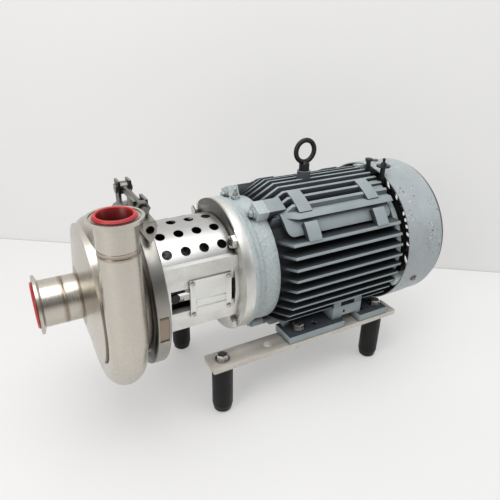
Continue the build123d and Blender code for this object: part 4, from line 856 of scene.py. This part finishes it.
def turned_plug(name, axis, face_sign, middle):
    """Plug turned from its profile: lip on the ferrule, bead, well and floor."""
    low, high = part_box(name)
    outer = min(high[i] - low[i] for i in range(3) if i != axis) / 2
    top = high[axis] if face_sign > 0 else low[axis]
    profile = plug_profile(PLUG_WELL[name], outer * LIP_SHARE, high[axis] - low[axis])
    points, starts = [], []
    for radius, rise in profile:
        starts.append(len(points))
        for step in range(PLUG_SIDES if radius else 1):
            angle = math.tau * step / PLUG_SIDES
            points.append(place_on(axis, middle, top + face_sign * rise,
                                   radius * math.cos(angle), radius * math.sin(angle)))
    faces = []
    for first in range(len(profile) - 1):
        for step in range(PLUG_SIDES):
            after = (step + 1) % PLUG_SIDES
            faces.append(ring_corners(starts[first], profile[first][0], (step, after))
                         + ring_corners(starts[first + 1], profile[first + 1][0], (after, step)))
    mesh = bpy.data.meshes.new("turned_" + name)
    mesh.from_pydata(points, [], faces)
    outward = bmesh.new()
    outward.from_mesh(mesh)
    bmesh.ops.recalc_face_normals(outward, faces=outward.faces)
    outward.to_mesh(mesh)
    outward.free()
    smoothed(mesh, 50)
    mesh.materials.append(FINISHES["red_plastic"])
    stands_for(added("turned_" + name, mesh), name)


turned_plug("suction_plug", 0, -1, (0.0, 0.0))
turned_plug("discharge_plug", 2, 1, (SCROLL_X, SCROLL_Y))

# Places of the fasteners. HEX turns half of a width across flats into a corner's radius

HEX = 2 / math.sqrt(3)
RAIL_BOLT = {"Sides": 6, "Head_Radius": 6.5 * HEX, "Head_Height": 5.5, "Chamfer": 0.9,
             "Washer_Radius": 8.5, "Washer_Height": 1.6, "Shank_Radius": 4.0,
             "Slot_Width": 0.4, "Slot_Depth": 0.05}
fasteners("face_bolts", to_front, Sides=6, Head_Radius=7.15 * HEX, Head_Height=6.4, Chamfer=0.9,
          Washer_Radius=6.9, Shank_Radius=4.7, Slot_Width=0.4, Slot_Depth=0.05)
fasteners("bell_bolts", to_front, Sides=6, Head_Radius=4.0 * HEX, Head_Height=4.0, Chamfer=0.6,
          Washer_Radius=3.9, Shank_Radius=2.5, Slot_Width=0.4, Slot_Depth=0.05)
fasteners("foot_bolts", upwards, 0.3, **RAIL_BOLT)
fasteners("leg_bolts", upwards, 0.2, **RAIL_BOLT)
fasteners("side_cover_screws", sideways, 0.5, Sides=28, Head_Radius=2.8, Head_Height=1.6,
          Chamfer=0.9, Washer_Radius=2.7, Shank_Radius=1.9, Slot_Width=0.7, Slot_Depth=0.7)
fasteners("fan_cover_screws", off_shaft, 0.4, Sides=28, Head_Radius=4.5, Head_Height=2.3,
          Chamfer=0.9, Washer_Radius=4.4, Shank_Radius=2.4, Slot_Width=0.9, Slot_Depth=0.8)
fasteners("conduit_screws", sideways, 0.6, Sides=28, Head_Radius=4.0, Head_Height=2.1,
          Chamfer=0.8, Washer_Radius=3.9, Shank_Radius=2.0, Slot_Width=0.9, Slot_Depth=0.7)


# Studio

def lit_from_within(finish, strength):
    """Adds a little light of its own to a studio surface, which lifts its shadows."""
    finish.shader.inputs["Emission Color"].default_value = (1.0, 0.995, 0.985, 1.0)
    finish.shader.inputs["Emission Strength"].default_value = strength


def studio():
    """Pale floor with a painted shade line at the wall's foot, and a wall behind the pump that only
    shows from the pump's side.
    """
    plain = Finish("studio_floor", (0.45, 0.45, 0.445), roughness=0.6)
    lit_from_within(plain, 0.34)
    cloud = plain.noise(2.2, 3.0, 0.5)
    tone = plain.mixed(plain.ramp(cloud, 0.3, 0.7), (0.45, 0.445, 0.44), (0.47, 0.467, 0.462))
    x, y, _ = plain.axes()
    reach = plain.math("ADD", plain.product(x, WALL_TOWARDS[0]), plain.product(y, WALL_TOWARDS[1]))
    # Painted shade line on the floor where the wall stands on it
    foot = plain.band(reach, WALL_REACH, 0.0008, 0.0012)
    plain.colour(plain.mixed(foot, tone, (0.10, 0.10, 0.098)))
    add_stage("studio_floor", [(x * FLOOR_HALF, y * FLOOR_HALF, FLOOR_Z)
                               for x, y in ((-1, -1), (1, -1), (1, 1), (-1, 1))],
              plain.material)

    screen = Finish("studio_wall", (0.50, 0.50, 0.495), roughness=0.7)
    lit_from_within(screen, 0.30)
    screen.colour(screen.mixed(screen.noise(1.6, 3.0, 0.5), (0.495, 0.49, 0.485),
                               (0.51, 0.507, 0.50)))
    side = screen.add("ShaderNodeNewGeometry").outputs["Backfacing"]
    both = screen.add("ShaderNodeMixShader")
    clear = screen.add("ShaderNodeBsdfTransparent")
    screen.link(side, both.inputs[0])
    screen.link(screen.shader.outputs[0], both.inputs[1])
    screen.link(clear.outputs[0], both.inputs[2])
    screen.link(both.outputs[0], screen.output.inputs[0])
    along_x, along_y = WALL_TOWARDS
    corners = []
    for aside, lift in ((-WALL_HALF, 0), (WALL_HALF, 0), (WALL_HALF, WALL_HEIGHT),
                        (-WALL_HALF, WALL_HEIGHT)):
        corners.append((along_x * WALL_REACH + along_y * aside,
                        along_y * WALL_REACH - along_x * aside, FLOOR_Z + lift))
    add_stage("studio_wall", corners, screen.material)


def add_stage(name, corners, material):
    mesh = bpy.data.meshes.new(name)
    mesh.from_pydata(corners, [], [(0, 1, 2, 3)])
    mesh.materials.append(material)
    added(name, mesh)


def soft_light(name, place, target, size, power, tint=(1, 1, 1)):
    light = bpy.data.lights.new(name, "AREA")
    light.shape = "RECTANGLE"
    light.size, light.size_y = size
    light.energy = power
    light.color = tint
    lamp = added(name, light)
    lamp.location = place
    toward = Vector(target) - Vector(place)
    lamp.rotation_euler = toward.to_track_quat("-Z", "Y").to_euler()


def camera():
    forward = Vector((math.sin(CAMERA_YAW) * math.cos(CAMERA_PITCH),
                      math.cos(CAMERA_YAW) * math.cos(CAMERA_PITCH), -math.sin(CAMERA_PITCH)))
    right = Vector((math.cos(CAMERA_YAW), -math.sin(CAMERA_YAW), 0))
    up = right.cross(forward)
    turned_right = right * math.cos(CAMERA_ROLL) + up * math.sin(CAMERA_ROLL)
    turned_up = up * math.cos(CAMERA_ROLL) - right * math.sin(CAMERA_ROLL)
    lens = bpy.data.cameras.new("photo_camera")
    lens.sensor_width = SENSOR
    lens.lens = SENSOR * FOCAL_SHARE
    view = added("photo_camera", lens)
    turn = Matrix((turned_right, turned_up, -forward)).transposed().to_4x4()
    view.matrix_world = Matrix.Translation(CAMERA_PLACE) @ turn
    bpy.context.scene.camera = view


def lights():
    """Air that is pale at the horizon, dark above it and pale again overhead, and three panels."""
    world = bpy.data.worlds.new("studio_air")
    world.use_nodes = True
    tree = world.node_tree
    background = tree.nodes["Background"]
    direction = tree.nodes.new("ShaderNodeTexCoord")
    split = tree.nodes.new("ShaderNodeSeparateXYZ")
    ramp = tree.nodes.new("ShaderNodeValToRGB")
    tree.links.new(direction.outputs["Generated"], split.inputs[0])
    tree.links.new(split.outputs[2], ramp.inputs[0])
    tree.links.new(ramp.outputs[0], background.inputs[0])
    stops = ramp.color_ramp.elements
    stops[0].color = (0.95, 0.95, 0.94, 1)
    for place, level in ((0.10, 0.85), (0.17, 0.16)):
        stops.new(place).color = (level, level * 0.98, level * 0.95, 1)
    stops[len(stops) - 1].position = 0.75
    stops[len(stops) - 1].color = (0.85, 0.87, 0.9, 1)
    background.inputs[1].default_value = 0.50
    bpy.context.scene.world = world
    middle = (0.2, 0, 0)
    soft_light("overhead_panel", (0.1, -0.25, 1.35), middle, (1.5, 1.2), 15)
    soft_light("left_panel", (-1.05, -0.55, 0.75), middle, (0.7, 0.9), 8.5, (1, 0.985, 0.96))
    soft_light("right_panel", (1.2, -0.7, 0.6), middle, (0.5, 0.8), 1.5, (0.96, 0.98, 1))
    bpy.context.scene.view_settings.view_transform = "Standard"


studio()
camera()
lights()
